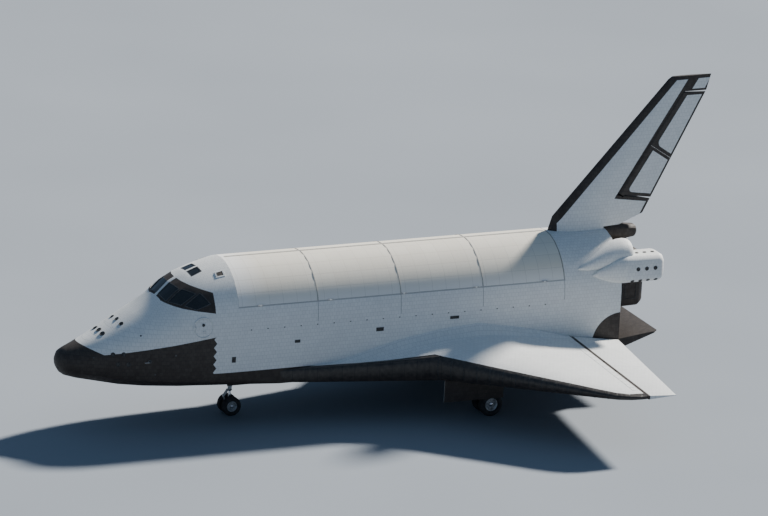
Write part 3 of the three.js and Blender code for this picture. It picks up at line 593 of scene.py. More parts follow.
def pick(thing):
    deselect()
    thing.select_set(True)
    bpy.context.view_layer.objects.active = thing


def edit():
    bpy.ops.object.mode_set(mode="EDIT")


def object_mode():
    bpy.ops.object.mode_set(mode="OBJECT")


def everything():
    bpy.ops.mesh.select_all(action="SELECT")


def edit_all():
    edit()
    everything()


def keep_place():
    """Put the object's place, turn and size into its mesh."""
    bpy.ops.object.transform_apply(location=True, rotation=True, scale=True)


def look_of(name):
    keys = [key for key in LOOKS if key in name]
    return LOOKS[max(keys, key=len)]


def soften(skin, ahead, width):
    """Bevel the real corners that lie wholly aft of a station."""
    edit()
    shape = bmesh.from_edit_mesh(skin.data)
    bpy.ops.mesh.select_mode(type="EDGE")
    bpy.ops.mesh.select_all(action="DESELECT")
    for edge in shape.edges:
        behind = all(vert.co.x > ahead + NOSE for vert in edge.verts)
        edge.select_set(behind and len(edge.link_faces) == 2 and edge.calc_face_angle() > math.radians(24))
    bmesh.update_edit_mesh(skin.data)
    bpy.ops.mesh.bevel(offset=width, segments=4, affect="EDGES", clamp_overlap=False)
    bpy.ops.mesh.select_mode(type="VERT")
    object_mode()


def smooth_skin(name):
    solid = nodes[name]
    pick(solid)
    bpy.ops.object.duplicate()
    skin = bpy.context.view_layer.objects.active
    skin.parent = None
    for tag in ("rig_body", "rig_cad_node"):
        del skin[tag]
    skin.name = name + "_skin"
    finish, angle = look_of(name)
    skin.data.materials.clear()
    skin.data.materials.append(finish)
    edit_all()
    bpy.ops.mesh.remove_doubles(threshold=0.0001)
    object_mode()
    for word, (ahead, width) in ROUNDED.items():
        if word in name:
            soften(skin, ahead, width)
    if bpy.context.object.data.has_custom_normals:
        bpy.ops.mesh.customdata_custom_splitnormals_clear()
    bpy.ops.object.shade_smooth_by_angle(angle=math.radians(angle))
    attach(skin, solid["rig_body"])
    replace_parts(skin, name)
    return skin


HANDMADE = ("tyre", "engine_nozzle")
skins = {name: smooth_skin(name) for name in list(nodes) if not any(word in name for word in HANDMADE)}
print("smoothed", len(skins), "solids")

# %% [markdown]
# New pieces are modelled with the same few moves each time, so the moves become helpers. One turns a
# profile on a lathe, one shapes a block, one lays a thin plate on a curved skin, one makes a pipe from a
# curve, and two copy pieces and join them.


# %% Modelling helpers
MERGE = 0.0002  # doubled points closer than this become one
made = []


def choose(test):
    """In edit mode, select just the faces whose middle and normal pass a test."""
    shape = bmesh.from_edit_mesh(bpy.context.object.data)
    bpy.ops.mesh.select_mode(type="FACE")
    bpy.ops.mesh.select_all(action="DESELECT")
    for face in shape.faces:
        face.select_set(test(face.calc_center_median(), face.normal))
    bmesh.update_edit_mesh(bpy.context.object.data)


def clean_shape():
    bpy.ops.mesh.select_mode(type="VERT")
    everything()
    bpy.ops.mesh.remove_doubles(threshold=MERGE)
    bpy.ops.mesh.normals_make_consistent(inside=False)


def close_ends():
    everything()
    bpy.ops.mesh.remove_doubles(threshold=MERGE)
    everything()
    bpy.ops.mesh.fill_holes(sides=0)
    clean_shape()


def give_wall(piece, thickness, offset=-1.0):
    """Solidify a skin: an offset of 1 grows it outwards, and -1 inwards."""
    solid = piece.modifiers.new("wall", "SOLIDIFY")
    solid.thickness = thickness
    solid.offset = offset
    bpy.ops.object.modifier_apply(modifier="wall")


def settle(name, finish, body, angle=35):
    """Name the piece, put its place in its mesh, give it a finish and let it ride on a body."""
    object_mode()
    piece = bpy.context.object
    keep_place()
    piece.name = name
    piece.data.materials.clear()
    piece.data.materials.append(finish)
    bpy.ops.object.shade_smooth_by_angle(angle=math.radians(angle))
    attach(piece, body)
    made.append(name)
    return piece


def turned(name, finish, body, profile, centre, way, faces=24, angle=35):
    """Rings of (radius, height) along a way, each extruded from the last and scaled."""
    deselect()
    way = Vector(way).normalized()
    radius, height = profile[0]
    middle = Vector(centre)
    bpy.ops.mesh.primitive_circle_add(vertices=faces, radius=radius, location=middle + way * height,
                                      rotation=way.to_track_quat("Z", "Y").to_euler())
    keep_place()
    edit()
    bpy.ops.mesh.select_mode(type="VERT")
    everything()
    for (r0, h0), (r1, h1) in zip(profile, profile[1:]):
        bpy.ops.mesh.extrude_region_move(TRANSFORM_OT_translate={"value": way * (h1 - h0)})
        bpy.ops.transform.resize(value=(r1 / r0,) * 3, center_override=middle + way * h1)
    close_ends()
    return settle(name, finish, body, angle)


def block(name, finish, body, low, high, edge=0.01, panel=None, depth=0.0):
    """A bevelled block between two corners, and if asked a panel let into the side that faces one way."""
    deselect()
    low, high = (Vector(map(end, low, high)) for end in (min, max))
    bpy.ops.mesh.primitive_cube_add(size=1, location=(low + high) / 2)
    bpy.context.object.scale = high - low
    keep_place()
    edit()
    if panel:
        way = Vector(panel)
        choose(lambda middle, normal: normal.dot(way) > 0.9)
        bpy.ops.mesh.inset(thickness=min(high - low) * 0.2)
        bpy.ops.mesh.extrude_region_move(TRANSFORM_OT_translate={"value": way * -depth})
    everything()
    bpy.ops.mesh.bevel(offset=edge, segments=2, affect="EDGES", clamp_overlap=True)
    clean_shape()
    return settle(name, finish, body, 30)


OUTSIDE = 8  # metres from the middle or up, where a line that looks for the skin starts


def on_skin(name, start, way):
    """Where a line from a start meets a smoothed skin, and which way that skin faces."""
    found, spot, normal, _ = skins[name].ray_cast(start, Vector(way))
    if not found:
        raise ValueError("no skin of " + name + " in line with " + str(tuple(start)))
    return spot, normal


def plate(name, finish, target, middle, size, way, lift=0.004, thick=0.012, cuts=6, frame_width=0.0):
    """A thin plate laid on a skin: a grid is dropped on it, and given a thickness."""
    deselect()
    way = Vector(way).normalized()
    level = Matrix.Rotation(0 if way.z > 0 else math.pi, 3, "X").to_quaternion()
    turn = way.to_track_quat("Z", "Y") if abs(way.z) < 0.9 else level
    bpy.ops.mesh.primitive_grid_add(
        x_subdivisions=cuts, y_subdivisions=cuts, size=1, location=Vector(middle), rotation=turn.to_euler())
    piece = bpy.context.object
    piece.scale = (size[0], size[1], 1)
    keep_place()
    if frame_width:
        edit_all()
        bpy.ops.mesh.inset(thickness=frame_width)
        bpy.ops.mesh.delete(type="FACE")
        object_mode()
    drop = piece.modifiers.new("drop", "SHRINKWRAP")
    drop.target = skins[target]
    drop.wrap_method = "NEAREST_SURFACEPOINT"
    drop.wrap_mode = "ABOVE_SURFACE"
    drop.offset = lift
    bpy.ops.object.modifier_apply(modifier="drop")
    give_wall(piece, thick, 1.0)
    edit()
    clean_shape()
    return settle(name, finish, skins[target]["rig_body"], 30)


def copied(piece, name, move=(0, 0, 0), flip=False, body=None):
    """Another of the same, moved or mirrored to the other side, with its own mesh."""
    pick(piece)
    bpy.ops.object.duplicate()
    other = bpy.context.object
    edit_all()
    if flip:
        bpy.ops.transform.resize(value=(1, -1, 1), center_override=(0, 0, 0))
    bpy.ops.transform.translate(value=move)
    bpy.ops.mesh.normals_make_consistent(inside=False)
    object_mode()
    other.name = name
    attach(other, body or piece["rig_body"])
    made.append(name)
    return other


def joined(pieces, name):
    deselect()
    for piece in pieces:
        piece.select_set(True)
        made.remove(piece.name)
    bpy.context.view_layer.objects.active = pieces[0]
    bpy.ops.object.join()
    pieces[0].name = name
    made.append(name)
    return pieces[0]


def tube(name, finish, body, points, radius, sides=3):
    """A bent pipe: a curve with round section, made a mesh."""
    deselect()
    bpy.ops.curve.primitive_bezier_curve_add()
    pipe = bpy.context.object
    way = pipe.data.splines[0].bezier_points
    way.add(len(points) - 2)
    for knot, spot in zip(way, points):
        knot.co = spot
        knot.handle_left_type = knot.handle_right_type = "AUTO"
    pipe.data.resolution_u = 6
    pipe.data.bevel_depth = radius
    pipe.data.bevel_resolution = sides
    pipe.data.use_fill_caps = True
    bpy.ops.object.convert(target="MESH")
    edit()
    clean_shape()
    return settle(name, finish, body, 60)


print("helpers ready, skins to lay on:", len(skins))

# %% [markdown]
# A strut or link joins two points. It is a stretched cube, turned to lie between them, with a groove down
# each broad side as a forged link has, and rounded edges.


# %% Link helper
def link(name, finish, body, start, end, width, height, groove=0.0):
    start, end = Vector(start), Vector(end)
    way = end - start
    deselect()
    bpy.ops.mesh.primitive_cube_add(size=1)
    piece = bpy.context.object
    piece.scale = (way.length, width, height)
    keep_place()
    edit()
    if groove:
        for side in (-1, 1):
            choose(lambda middle, normal: normal.y * side > 0.9)
            bpy.ops.mesh.inset(thickness=height * 0.22)
            bpy.ops.mesh.extrude_region_move(TRANSFORM_OT_translate={"value": (0, -side * groove, 0)})
    everything()
    bpy.ops.mesh.bevel(offset=min(width, height) * 0.12, segments=2, affect="EDGES", clamp_overlap=True)
    clean_shape()
    object_mode()
    piece.rotation_mode = "QUATERNION"
    piece.rotation_quaternion = way.to_track_quat("X", "Z")
    piece.location = (start + end) / 2
    return settle(name, finish, body, 30)


print("link helper ready")

# %% [markdown]
# Small thrusters turn the craft in space. Each is a round cup let into the skin. Cups are turned on a lathe
# and set square to the skin: a line is dropped on the skin to find its place and its slope.

# %% Nose thrusters
CUP = [(1.18, -0.5), (1.18, 0.16), (1.08, 0.24), (0.98, 0.24), (0.9, 0.12), (0.45, 0.09), (0.02, 0.09)]


def thruster(name, target, start, way, radius, finish=None):
    spot, normal = on_skin(target, start, way)
    profile = [(r * radius, h * radius) for r, h in CUP]
    return turned(name, finish or DARK_METAL, skins[target]["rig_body"], profile, spot, normal, 20)


DOWN = Vector((0, 0, -1))
for row, (x, y) in enumerate([(2.34, 0.5), (3.3, 0.62)]):
    for column, across in enumerate([-y, 0.0, y]):
        thruster(f"nose_thruster_top_{row}_{column}", "forward_fuselage", place(x, across, OUTSIDE), DOWN,
                 0.13 - 0.02 * row)
for side, name in SIDES:
    for number, (x, z) in enumerate([(2.5, 1.95), (3.0, 1.98), (2.75, 1.45), (3.25, 1.45)]):
        thruster(f"nose_thruster_{name}_{number}", "forward_fuselage", place(x, side * OUTSIDE, z),
                 (0, -side, 0), 0.1)
print("thrusters on the nose", sum("nose_thruster" in name for name in made))

# %% [markdown]
# Each pod at the tail carries thrusters: three on its outer face, four in a low row, four on top and three
# that face aft.

# %% Pod thrusters
POD_OUTER = [(31.35, 4.55), (31.85, 4.55), (32.35, 4.55)]
for side, name in SIDES:
    pod = "thruster_pod_" + name
    for number, (x, z) in enumerate(POD_OUTER):
        thruster(f"pod_port_outer_{name}_{number}", pod, place(x, side * OUTSIDE, z), (0, -side, 0), 0.095)
    for number, x in enumerate([31.1, 31.55, 32.0, 32.45]):
        thruster(f"pod_port_low_{name}_{number}", pod, place(x, side * OUTSIDE, 3.9), (0, -side, 0), 0.09)
        thruster(f"pod_port_top_{name}_{number}", pod, place(x, side * 2.2, 9), DOWN, 0.09)
    for number, (y, z) in enumerate([(1.85, 4.75), (2.4, 4.75), (2.4, 4.25)]):
        thruster(f"pod_port_aft_{name}_{number}", pod, place(36, side * y, z), (-1, 0, 0), 0.1)
print("ports on the pods", sum("pod_port" in name for name in made))

# %% [markdown]
# Vents and small doors are thin plates that follow the skin. A grid is laid near the skin and dropped onto
# it with Shrinkwrap, then Solidify gives it an edge that catches the light.

# %% Side vents and marks
VENTS = [(8.7, 1.5, 0.22, 0.3), (16.8, 2.46, 0.42, 0.2), (21.0, 2.75, 0.5, 0.16), (12.2, 2.2, 0.3, 0.16)]
for side, name in SIDES:
    for number, (x, z, long, high) in enumerate(VENTS):
        body = "forward_fuselage" if x < 8.9 else "mid_fuselage"
        plate(f"side_vent_{name}_{number}", DARK_METAL, body, place(x, side * 2.8, z), (long, high),
              (0, side, 0))
    first = plate(f"port_cover_{name}", DARK_METAL, "mid_fuselage", place(9.6, side * 2.8, 3.02),
                  (0.07, 0.05), (0, side, 0), 0.003, 0.008, 2)
    row = [copied(first, f"port_cover_{name}_{n}", (0.92 * n, 0, 0)) for n in range(1, 19)]
    joined([first] + row, f"port_covers_{name}")
print("vents and covers", len(made))

# %% [markdown]
# Round the cockpit windows run raised frames. Each starts as a copy of the pane's outer face. The face is
# inset by the rim's width, the middle that is left is deleted, and Solidify gives the rim its height.


# %% Window frames
def window_frame(pane, outward):
    pick(skins[pane])
    bpy.ops.object.duplicate()
    rim = bpy.context.object
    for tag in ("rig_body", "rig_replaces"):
        if tag in rim:
            del rim[tag]
    edit()
    choose(lambda middle, normal: normal.dot(outward) > 0.55)
    bpy.ops.mesh.select_all(action="INVERT")
    bpy.ops.mesh.delete(type="FACE")
    everything()
    bpy.ops.mesh.inset(thickness=0.045, use_outset=False)
    bpy.ops.mesh.delete(type="FACE")
    object_mode()
    give_wall(rim, 0.02, 1.0)
    edit()
    clean_shape()
    return settle("frame_of_" + pane, FRAME_METAL, "orbiter", 30)


FRAME_METAL = metal("window frame metal", (0.10, 0.10, 0.10, 1), (0.05, 0.05, 0.05, 1), 0.45, 0.5)
LOOKOUT = {"windscreen": (-0.75, 0.15, 0.65), "corner_pane": (-0.6, 0.6, 0.5), "side_pane": (-0.2, 0.9, 0.3),
           "overhead_pane": (-0.2, 0.1, 0.95)}
for kind, (ahead, across, up) in LOOKOUT.items():
    for side, name in SIDES:
        window_frame(f"{kind}_{name}", Vector((ahead, across * side, up)).normalized())
print("frames", sum("frame_of" in name for name in made))

# %% [markdown]
# The crew climb in through a round hatch on the port side. It has a raised rim, a small round window and a
# handle let into a shallow dish.

# %% Hatch rim, window and handle
hatch_spot, hatch_way = on_skin("crew_hatch", place(7.0, -8, 3.3), (0, 1, 0))
turned("hatch_rim", WHITE_TILES, "orbiter", [(0.492, -0.04), (0.535, -0.04), (0.535, 0.004), (0.525, 0.014),
                                             (0.5, 0.014), (0.492, 0.005), (0.492, -0.04)], hatch_spot,
       hatch_way, 48)
light, light_way = on_skin("crew_hatch", place(7.0, -8, 3.44), (0, 1, 0))
turned("hatch_window_rim", LEG_PAINT, "crew_hatch", [(0.078, -0.02), (0.112, -0.02), (0.112, 0.012),
                                                     (0.102, 0.018), (0.086, 0.018), (0.078, 0.01),
                                                     (0.078, -0.02)], light, light_way, 32)
turned("hatch_window", GLASS, "crew_hatch", [(0.08, -0.02), (0.08, 0.006), (0.05, 0.010), (0.004, 0.012)],
       light, light_way, 32)
grip, grip_way = on_skin("crew_hatch", place(7.05, -8, 3.08), (0, 1, 0))
turned("hatch_dish", LEG_PAINT, "crew_hatch", [(0.085, -0.02), (0.085, 0.006), (0.075, 0.012),
                                               (0.066, 0.006), (0.004, 0.004)], grip, grip_way, 28)
link("hatch_handle", CHROME, "crew_hatch", grip + Vector((-0.055, -0.016, 0)),
     grip + Vector((0.055, -0.016, 0)), 0.012, 0.024)
print("hatch parts", [name for name in made if name.startswith("hatch")])

# %% [markdown]
# Star trackers look out through two openings in the roof, ahead of the bay. An air data probe and four
# sensors sit on each side of the nose.

# %% Roof openings, probes and sensors
for side, name in SIDES:
    plate(f"roof_opening_{name}", BLACK_TILES, "forward_fuselage", place(8.28, side * 1.4, 5.85), (0.34, 0.3),
          (0, side * 0.5, 0.85), 0.004, 0.012, 4)
    plate(f"roof_opening_frame_{name}", WHITE_TILES, "forward_fuselage", place(8.28, side * 1.4, 5.85),
          (0.5, 0.44), (0, side * 0.5, 0.85), 0.004, 0.02, 6, 0.07)
    spot, normal = on_skin("forward_fuselage", place(4.3, side * OUTSIDE, 1.6), (0, -side, 0))
    turned(f"air_probe_foot_{name}", FRAME_METAL, "orbiter",
           [(0.1, -0.03), (0.1, 0.01), (0.06, 0.03), (0.03, 0.1), (0.02, 0.14)], spot, normal, 20)
    tube(f"air_probe_{name}", CHROME, "orbiter", [spot + normal * 0.08,
                                                  spot + normal * 0.13 - Vector((0.05, 0, 0)),
                                                  spot + normal * 0.135 - Vector((0.3, 0, 0))], 0.012)
    for number, (x, z) in enumerate([(1.6, 1.75), (3.9, 2.9), (4.6, 0.9), (5.6, 1.9)]):
        spot, normal = on_skin("forward_fuselage", place(x, side * OUTSIDE, z), (0, -side, 0))
        turned(f"side_sensor_{name}_{number}", FRAME_METAL, "orbiter",
               [(0.05, -0.02), (0.05, 0.006), (0.04, 0.01), (0.015, 0.006)], spot, normal, 16)
print("pieces so far", len(made))

# %% [markdown]
# The two cargo doors meet along the top. Each door has half of the sealing strip along the joint, and raised
# straps over the joints between its panels. A strap is a small section spun round the axis of the round top.


# %% Door straps and the centre strip
def arc(name, finish, body, x, section, radius, start, sweep, steps=20):
    """A rectangular section, set on a radius and spun about the bay's axis."""
    deselect()
    long, high = section
    axis = place(x, 0, CROWN_AXIS)
    out = Vector((0, math.cos(start), math.sin(start)))
    bpy.ops.mesh.primitive_plane_add(size=1, location=axis + out * radius)
    turn = Matrix((Vector((1, 0, 0)), out, Vector((1, 0, 0)).cross(out))).transposed()
    section_piece = bpy.context.object
    section_piece.scale = (long, high, 1)
    section_piece.rotation_euler = turn.to_euler()
    keep_place()
    edit_all()
    bpy.ops.mesh.spin(steps=steps, angle=sweep, center=axis, axis=(1, 0, 0))
    close_ends()
    return settle(name, finish, body, 30)


SEAL = coat("grey sealing strip", 0.7, 8, (0.43, 0.41, 0.37, 1), (0.32, 0.31, 0.29, 1), 0.2, 0.004)
JOINTS = [FIRST_JOINT, 17.95, 22.6]
for side, name in SIDES:
    door = "payload_door_" + name
    start = math.radians(18) if side > 0 else math.radians(162)
    sweep = math.radians(-71) * side
    straps = [arc(f"door_strap_{name}_{n}", SEAL, door, x, (0.05, 0.02), 2.745, start, sweep)
              for n, x in enumerate(JOINTS)]
    joined(straps, f"door_straps_{name}")
    edge_start = math.radians(90 - side * 0.15)
    arc(f"centre_strip_{name}", SEAL, door, 18.1, (18.0, 0.014), 2.75, edge_start,
        math.radians(-1.6) * side, 3)
print("door straps", [name for name in made if "strap" in name or "strip" in name])

# %% [markdown]
# The tyres are smooth-sided with four grooves round the tread. The profile climbs the side wall, crosses
# the tread with its grooves and comes back, and is turned round the axle as one closed ring.


# %% Tyres
def tyre_profile(radius, width, rim):
    half, bead = width / 2, radius * 0.2
    side = [(rim + 0.001, 0.55 * bead), (rim + 0.02, bead), (rim + 0.045, half * 0.84),
            (rim + 0.09, half * 0.97), (radius - 0.1, half), (radius - 0.06, half * 0.95),
            (radius - 0.028, half * 0.82), (radius - 0.01, half * 0.66)]
    tread = []
    for middle in (0.45, 0.15, -0.15, -0.45):
        spot = half * middle
        tread += [(radius, spot + 0.011), (radius - 0.011, spot + 0.007), (radius - 0.011, spot - 0.007),
                  (radius, spot - 0.011)]
    back = [(r, -h) for r, h in reversed(side)]
    return side + tread + back + [side[0]]


GEAR = {
    "nose": {"x": 9.75, "radius": 0.506, "width": 0.32, "rim": 0.25},
    "main": {"x": 22.75, "radius": 0.63, "width": 0.385, "rim": 0.31},
}


def hub(gear, y):
    size = GEAR[gear]
    return Vector((size["x"] + NOSE, y, size["radius"]))


def make_tyre(node, gear, y, body):
    size = GEAR[gear]
    profile = tyre_profile(size["radius"], size["width"], size["rim"])
    piece = turned(node + "_treaded", RUBBER, body, profile, hub(gear, y), (0, 1, 0), 56, 40)
    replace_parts(piece, node)


WHEELS = [("nose_tyre_left", "nose", -0.3, "nose_wheel_pair"),
          ("nose_tyre_right", "nose", 0.3, "nose_wheel_pair")]
for side, name in SIDES:
    WHEELS.append((f"main_inner_tyre_{name}", "main", side * 3.08, f"main_wheel_pair_{name}"))
    WHEELS.append((f"main_outer_tyre_{name}", "main", side * 3.92, f"main_wheel_pair_{name}"))
for wheel in WHEELS:
    make_tyre(*wheel)
print("tyres", sum("treaded" in name for name in made))

# %% [markdown]
# On the open face of each rim are a hub cap, a ring of bolts and a ring of dark cooling holes. One bolt and
# one hole are modelled, then copied round the axle with a rotation about its middle.


# %% Rim details
def ring_of(piece, name, count, middle, axis="Y"):
    parts = [piece]
    for number in range(1, count):
        other = copied(piece, f"{name}_{number}")
        edit_all()
        bpy.ops.transform.rotate(value=math.tau * number / count, orient_axis=axis, center_override=middle)
        object_mode()
        parts.append(other)
    return joined(parts, name)


def rim_details(gear, y, outward, body, name):
    size = GEAR[gear]
    rim, bead = size["rim"], size["radius"] * 0.2
    middle = hub(gear, y)
    way = (0, outward, 0)
    face = middle + Vector((0, outward * 0.03, 0))
    turned(f"hub_cap_{name}", CHROME, body, [(rim * 0.34, 0.0), (rim * 0.34, bead * 0.75),
                                             (rim * 0.31, bead * 0.95), (rim * 0.2, bead * 1.02),
                                             (rim * 0.18, bead * 1.16), (rim * 0.1, bead * 1.22),
                                             (0.004, bead * 1.22)], middle, way, 28)
    turned(f"rim_lip_{name}", RIM_METAL, body, [(rim * 0.9, bead * 0.7), (rim * 0.99, bead * 0.98),
                                                (rim * 1.08, bead * 1.05), (rim * 1.1, bead * 1.15),
                                                (rim * 1.04, bead * 1.2), (rim * 0.95, bead * 1.1),
                                                (rim * 0.88, bead * 0.8), (rim * 0.9, bead * 0.7)], middle,
           way, 48, 50)
    bolt_spot = face + Vector((0, 0, rim * 0.48))
    bolt = turned(f"bolt_{name}", CHROME, body, [(0.016, -0.02), (0.016, 0.014), (0.012, 0.018),
                                                 (0.002, 0.018)], bolt_spot, way, 6)
    ring_of(bolt, f"rim_bolts_{name}", 12, middle)
    hole_spot = face + Vector((0, 0, rim * 0.7))
    hole = turned(f"hole_{name}", DARK_METAL, body, [(0.03, -0.02), (0.03, 0.004), (0.024, 0.006),
                                                     (0.02, -0.004), (0.002, -0.004)], hole_spot, way, 12)
    ring_of(hole, f"rim_holes_{name}", 9, middle)


for side, name in SIDES:
    rim_details("nose", side * 0.3, side, "nose_wheel_pair", f"nose_{name}")
    rim_details("main", side * 3.92, side, f"main_wheel_pair_{name}", f"main_outer_{name}")
    rim_details("main", side * 3.08, -side, f"main_wheel_pair_{name}", f"main_inner_{name}")
print("rim details", sum("rim_" in name for name in made))

# %% [markdown]
# Each leg is an oil strut: a painted cylinder with a bright piston sliding in it, and a pair of hinged links
# that stop it from turning. Hoses run down it. The nose leg carries two lamps and an eye to tow it by.


# %% Nose leg details
def torque_links(leg, ending, body, top, low, knee, across, spread, size):
    """On one side, the link from the cylinder to the knee and the link from the knee to the piston's foot."""
    link(f"{leg}_link_upper_{ending}", LEG_PAINT, body, top + across * spread, knee + across, *size)
    link(f"{leg}_link_lower_{ending}", LEG_PAINT, body, low + across * spread, knee - across * 0.3, *size)


NOSE_X = GEAR["nose"]["x"]
nose_low = place(NOSE_X, 0, 0)
turned("nose_piston", CHROME, "nose_steering", [(0.064, -1.7), (0.068, -1.69), (0.068, -1.12),
                                                (0.064, -1.11), (0.064, -1.7)], nose_low, (0, 0, 1), 32)
turned("nose_gland", DARK_METAL, "nose_steering", [(0.112, -1.09), (0.12, -1.08), (0.12, -1.03),
                                                   (0.112, -1.02), (0.112, -1.09)], nose_low, (0, 0, 1), 32)
turned("nose_collar", LEG_PAINT, "orbiter", [(0.096, -0.885), (0.125, -0.88), (0.125, -0.74),
                                             (0.112, -0.72), (0.112, -0.42), (0.124, -0.4), (0.124, -0.34),
                                             (0.096, -0.33), (0.096, -0.885)], nose_low, (0, 0, 1), 32)
knee = place(NOSE_X - 0.34, 0, -1.36)
for side, name in SIDES:
    across = Vector((0, side * 0.05, 0))
    torque_links("nose", name, "nose_steering", place(NOSE_X - 0.1, 0, -1.02), place(NOSE_X - 0.17, 0, -1.78),
                 knee, across, 1.4, (0.03, 0.07, 0.006))
    lamp_spot = place(NOSE_X - 0.16, side * 0.2, -0.6)
    turned(f"nose_lamp_{name}", CHROME, "orbiter", [(0.02, 0.12), (0.06, 0.1), (0.09, 0.04), (0.098, 0.0),
                                                    (0.098, -0.02), (0.09, -0.024), (0.086, -0.004),
                                                    (0.03, 0.05), (0.004, 0.06)], lamp_spot, (1, 0, 0), 28)
    turned(f"nose_lamp_glass_{name}", GLASS, "orbiter",
           [(0.086, -0.008), (0.086, -0.014), (0.05, -0.024), (0.004, -0.028)], lamp_spot, (1, 0, 0), 28)
    link(f"nose_lamp_arm_{name}", LEG_PAINT, "orbiter", place(NOSE_X - 0.05, side * 0.08, -0.62),
         lamp_spot + Vector((0.06, 0, 0)), 0.03, 0.04)
    tube(f"nose_hose_{name}", RUBBER, "orbiter", [place(NOSE_X + 0.1, side * 0.08, 0.6),
                                                  place(NOSE_X + 0.13, side * 0.1, 0.1),
                                                  place(NOSE_X + 0.12, side * 0.09, -0.4),
                                                  place(NOSE_X + 0.08, side * 0.05, -0.8)], 0.014)
turned("nose_knee_pin", CHROME, "nose_steering", [(0.02, -0.09), (0.02, 0.09), (0.016, 0.094),
                                                  (0.002, 0.094)], knee, (0, 1, 0), 16)
turned("tow_eye", LEG_PAINT, "nose_steering", [(0.03, -0.02), (0.055, -0.02), (0.06, 0.0), (0.055, 0.02),
                                               (0.03, 0.02), (0.025, 0.0), (0.03, -0.02)],
       place(NOSE_X - 0.25, 0, -1.854), (0, 1, 0), 24)
print("nose leg details", sum(name.startswith(("nose_", "tow")) for name in made))

# %% [markdown]
# The main legs are built the same way, heavier and without lamps. A stack of brake discs sits beside each
# wheel, and the hoses lead to the brakes.

# %% Main leg details
MAIN_X = GEAR["main"]["x"]
for side, name in SIDES:
    foot = place(MAIN_X, side * 3.5, 0)
    turned(f"main_piston_{name}", CHROME, "orbiter", [(0.092, -1.58), (0.097, -1.57), (0.097, -0.93),
                                                      (0.092, -0.92), (0.092, -1.58)], foot, (0, 0, 1), 32)
    turned(f"main_gland_{name}", DARK_METAL, "orbiter",
           [(0.1, -0.93), (0.15, -0.93), (0.16, -0.9), (0.16, -0.8), (0.14, -0.78), (0.14, -0.3),
            (0.155, -0.28), (0.155, -0.2), (0.132, -0.19), (0.1, -0.93)], foot, (0, 0, 1), 32)
    bend = foot + Vector((0.42, 0, -1.16))
    for step, word in ((-1, "inner"), (1, "outer")):
        across = Vector((0, step * 0.06, 0))
        torque_links("main", f"{word}_{name}", "orbiter", foot + Vector((0.12, 0, -0.84)),
                     foot + Vector((0.08, 0, -1.66)), bend, across, 1.5, (0.035, 0.09, 0.007))
        start = foot + Vector((0, step * 0.216, -1.73))
        turned(f"brake_{word}_{name}", DARK_METAL, "orbiter",
               [(0.1, 0.0), (0.24, 0.0), (0.245, 0.008), (0.245, 0.018), (0.225, 0.022), (0.225, 0.028),
                (0.245, 0.032), (0.245, 0.042), (0.225, 0.046), (0.225, 0.052), (0.24, 0.056),
                (0.24, 0.066), (0.1, 0.068), (0.1, 0.0)], start, (0, step, 0), 36)
        tube(f"brake_hose_{word}_{name}", RUBBER, "orbiter", [foot + Vector((-0.14, step * 0.07, 0.4)),
             foot + Vector((-0.18, step * 0.09, -0.4)), foot + Vector((-0.17, step * 0.1, -1.1)),
             foot + Vector((-0.2, step * 0.16, -1.5)), foot + Vector((-0.1, step * 0.24, -1.62))], 0.013)
    turned(f"main_knee_pin_{name}", CHROME, "orbiter",
           [(0.026, -0.11), (0.026, 0.11), (0.02, 0.116), (0.002, 0.116)], bend, (0, 1, 0), 16)
    link(f"uplock_roller_arm_{name}", LEG_PAINT, "orbiter", foot + Vector((-0.1, 0, -0.66)),
         foot + Vector((-0.28, 0, -0.72)), 0.05, 0.08)
print("main leg details", sum("main_" in name or "brake" in name for name in made))

# %% [markdown]
# The gear doors hang on bent arms and have ribs inside. The ribs are blocks with a sunk panel between
# them, as pressed sheet has.

# %% Gear door ribs and arms
for side, name in SIDES:
    inner = -side
    for number, x in enumerate([9.6, 10.35, 11.1, 11.85]):
        block(f"nose_door_panel_{name}_{number}", LEG_PAINT, "orbiter", place(x, side * 0.6, -0.56),
              place(x + 0.62, side * 0.622, -0.1), 0.006, (0, inner, 0), 0.012)
    for number, x in enumerate([9.55, 11.0, 12.4]):
        tube(f"nose_door_arm_{name}_{number}", LEG_PAINT, "orbiter",
             [place(x, side * 0.5, 0.3), place(x, side * 0.46, 0.12), place(x, side * 0.5, -0.06),
              place(x, side * 0.6, -0.16)], 0.018)
    for number, x in enumerate([20.1, 21.15, 22.2]):
        block(f"main_door_panel_{name}_{number}", LEG_PAINT, "orbiter", place(x, side * 4.23, -1.22),
              place(x + 0.9, side * 4.258, -0.12), 0.008, (0, inner, 0), 0.016)
    for number, x in enumerate([20.05, 21.6, 23.15]):
        tube(f"main_door_arm_{name}_{number}", LEG_PAINT, "orbiter",
             [place(x, side * 4.1, 0.4), place(x, side * 4.02, 0.16), place(x, side * 4.08, -0.04),
              place(x, side * 4.22, -0.14)], 0.026)
print("door ribs and arms", sum("_door_" in name for name in made))

# %% [markdown]
# The two nozzles at the tail are bells with a throat, a smooth inner wall and thin bands outside that keep
# them round. One profile goes up the outside, over the lip and down the inside to the throat.

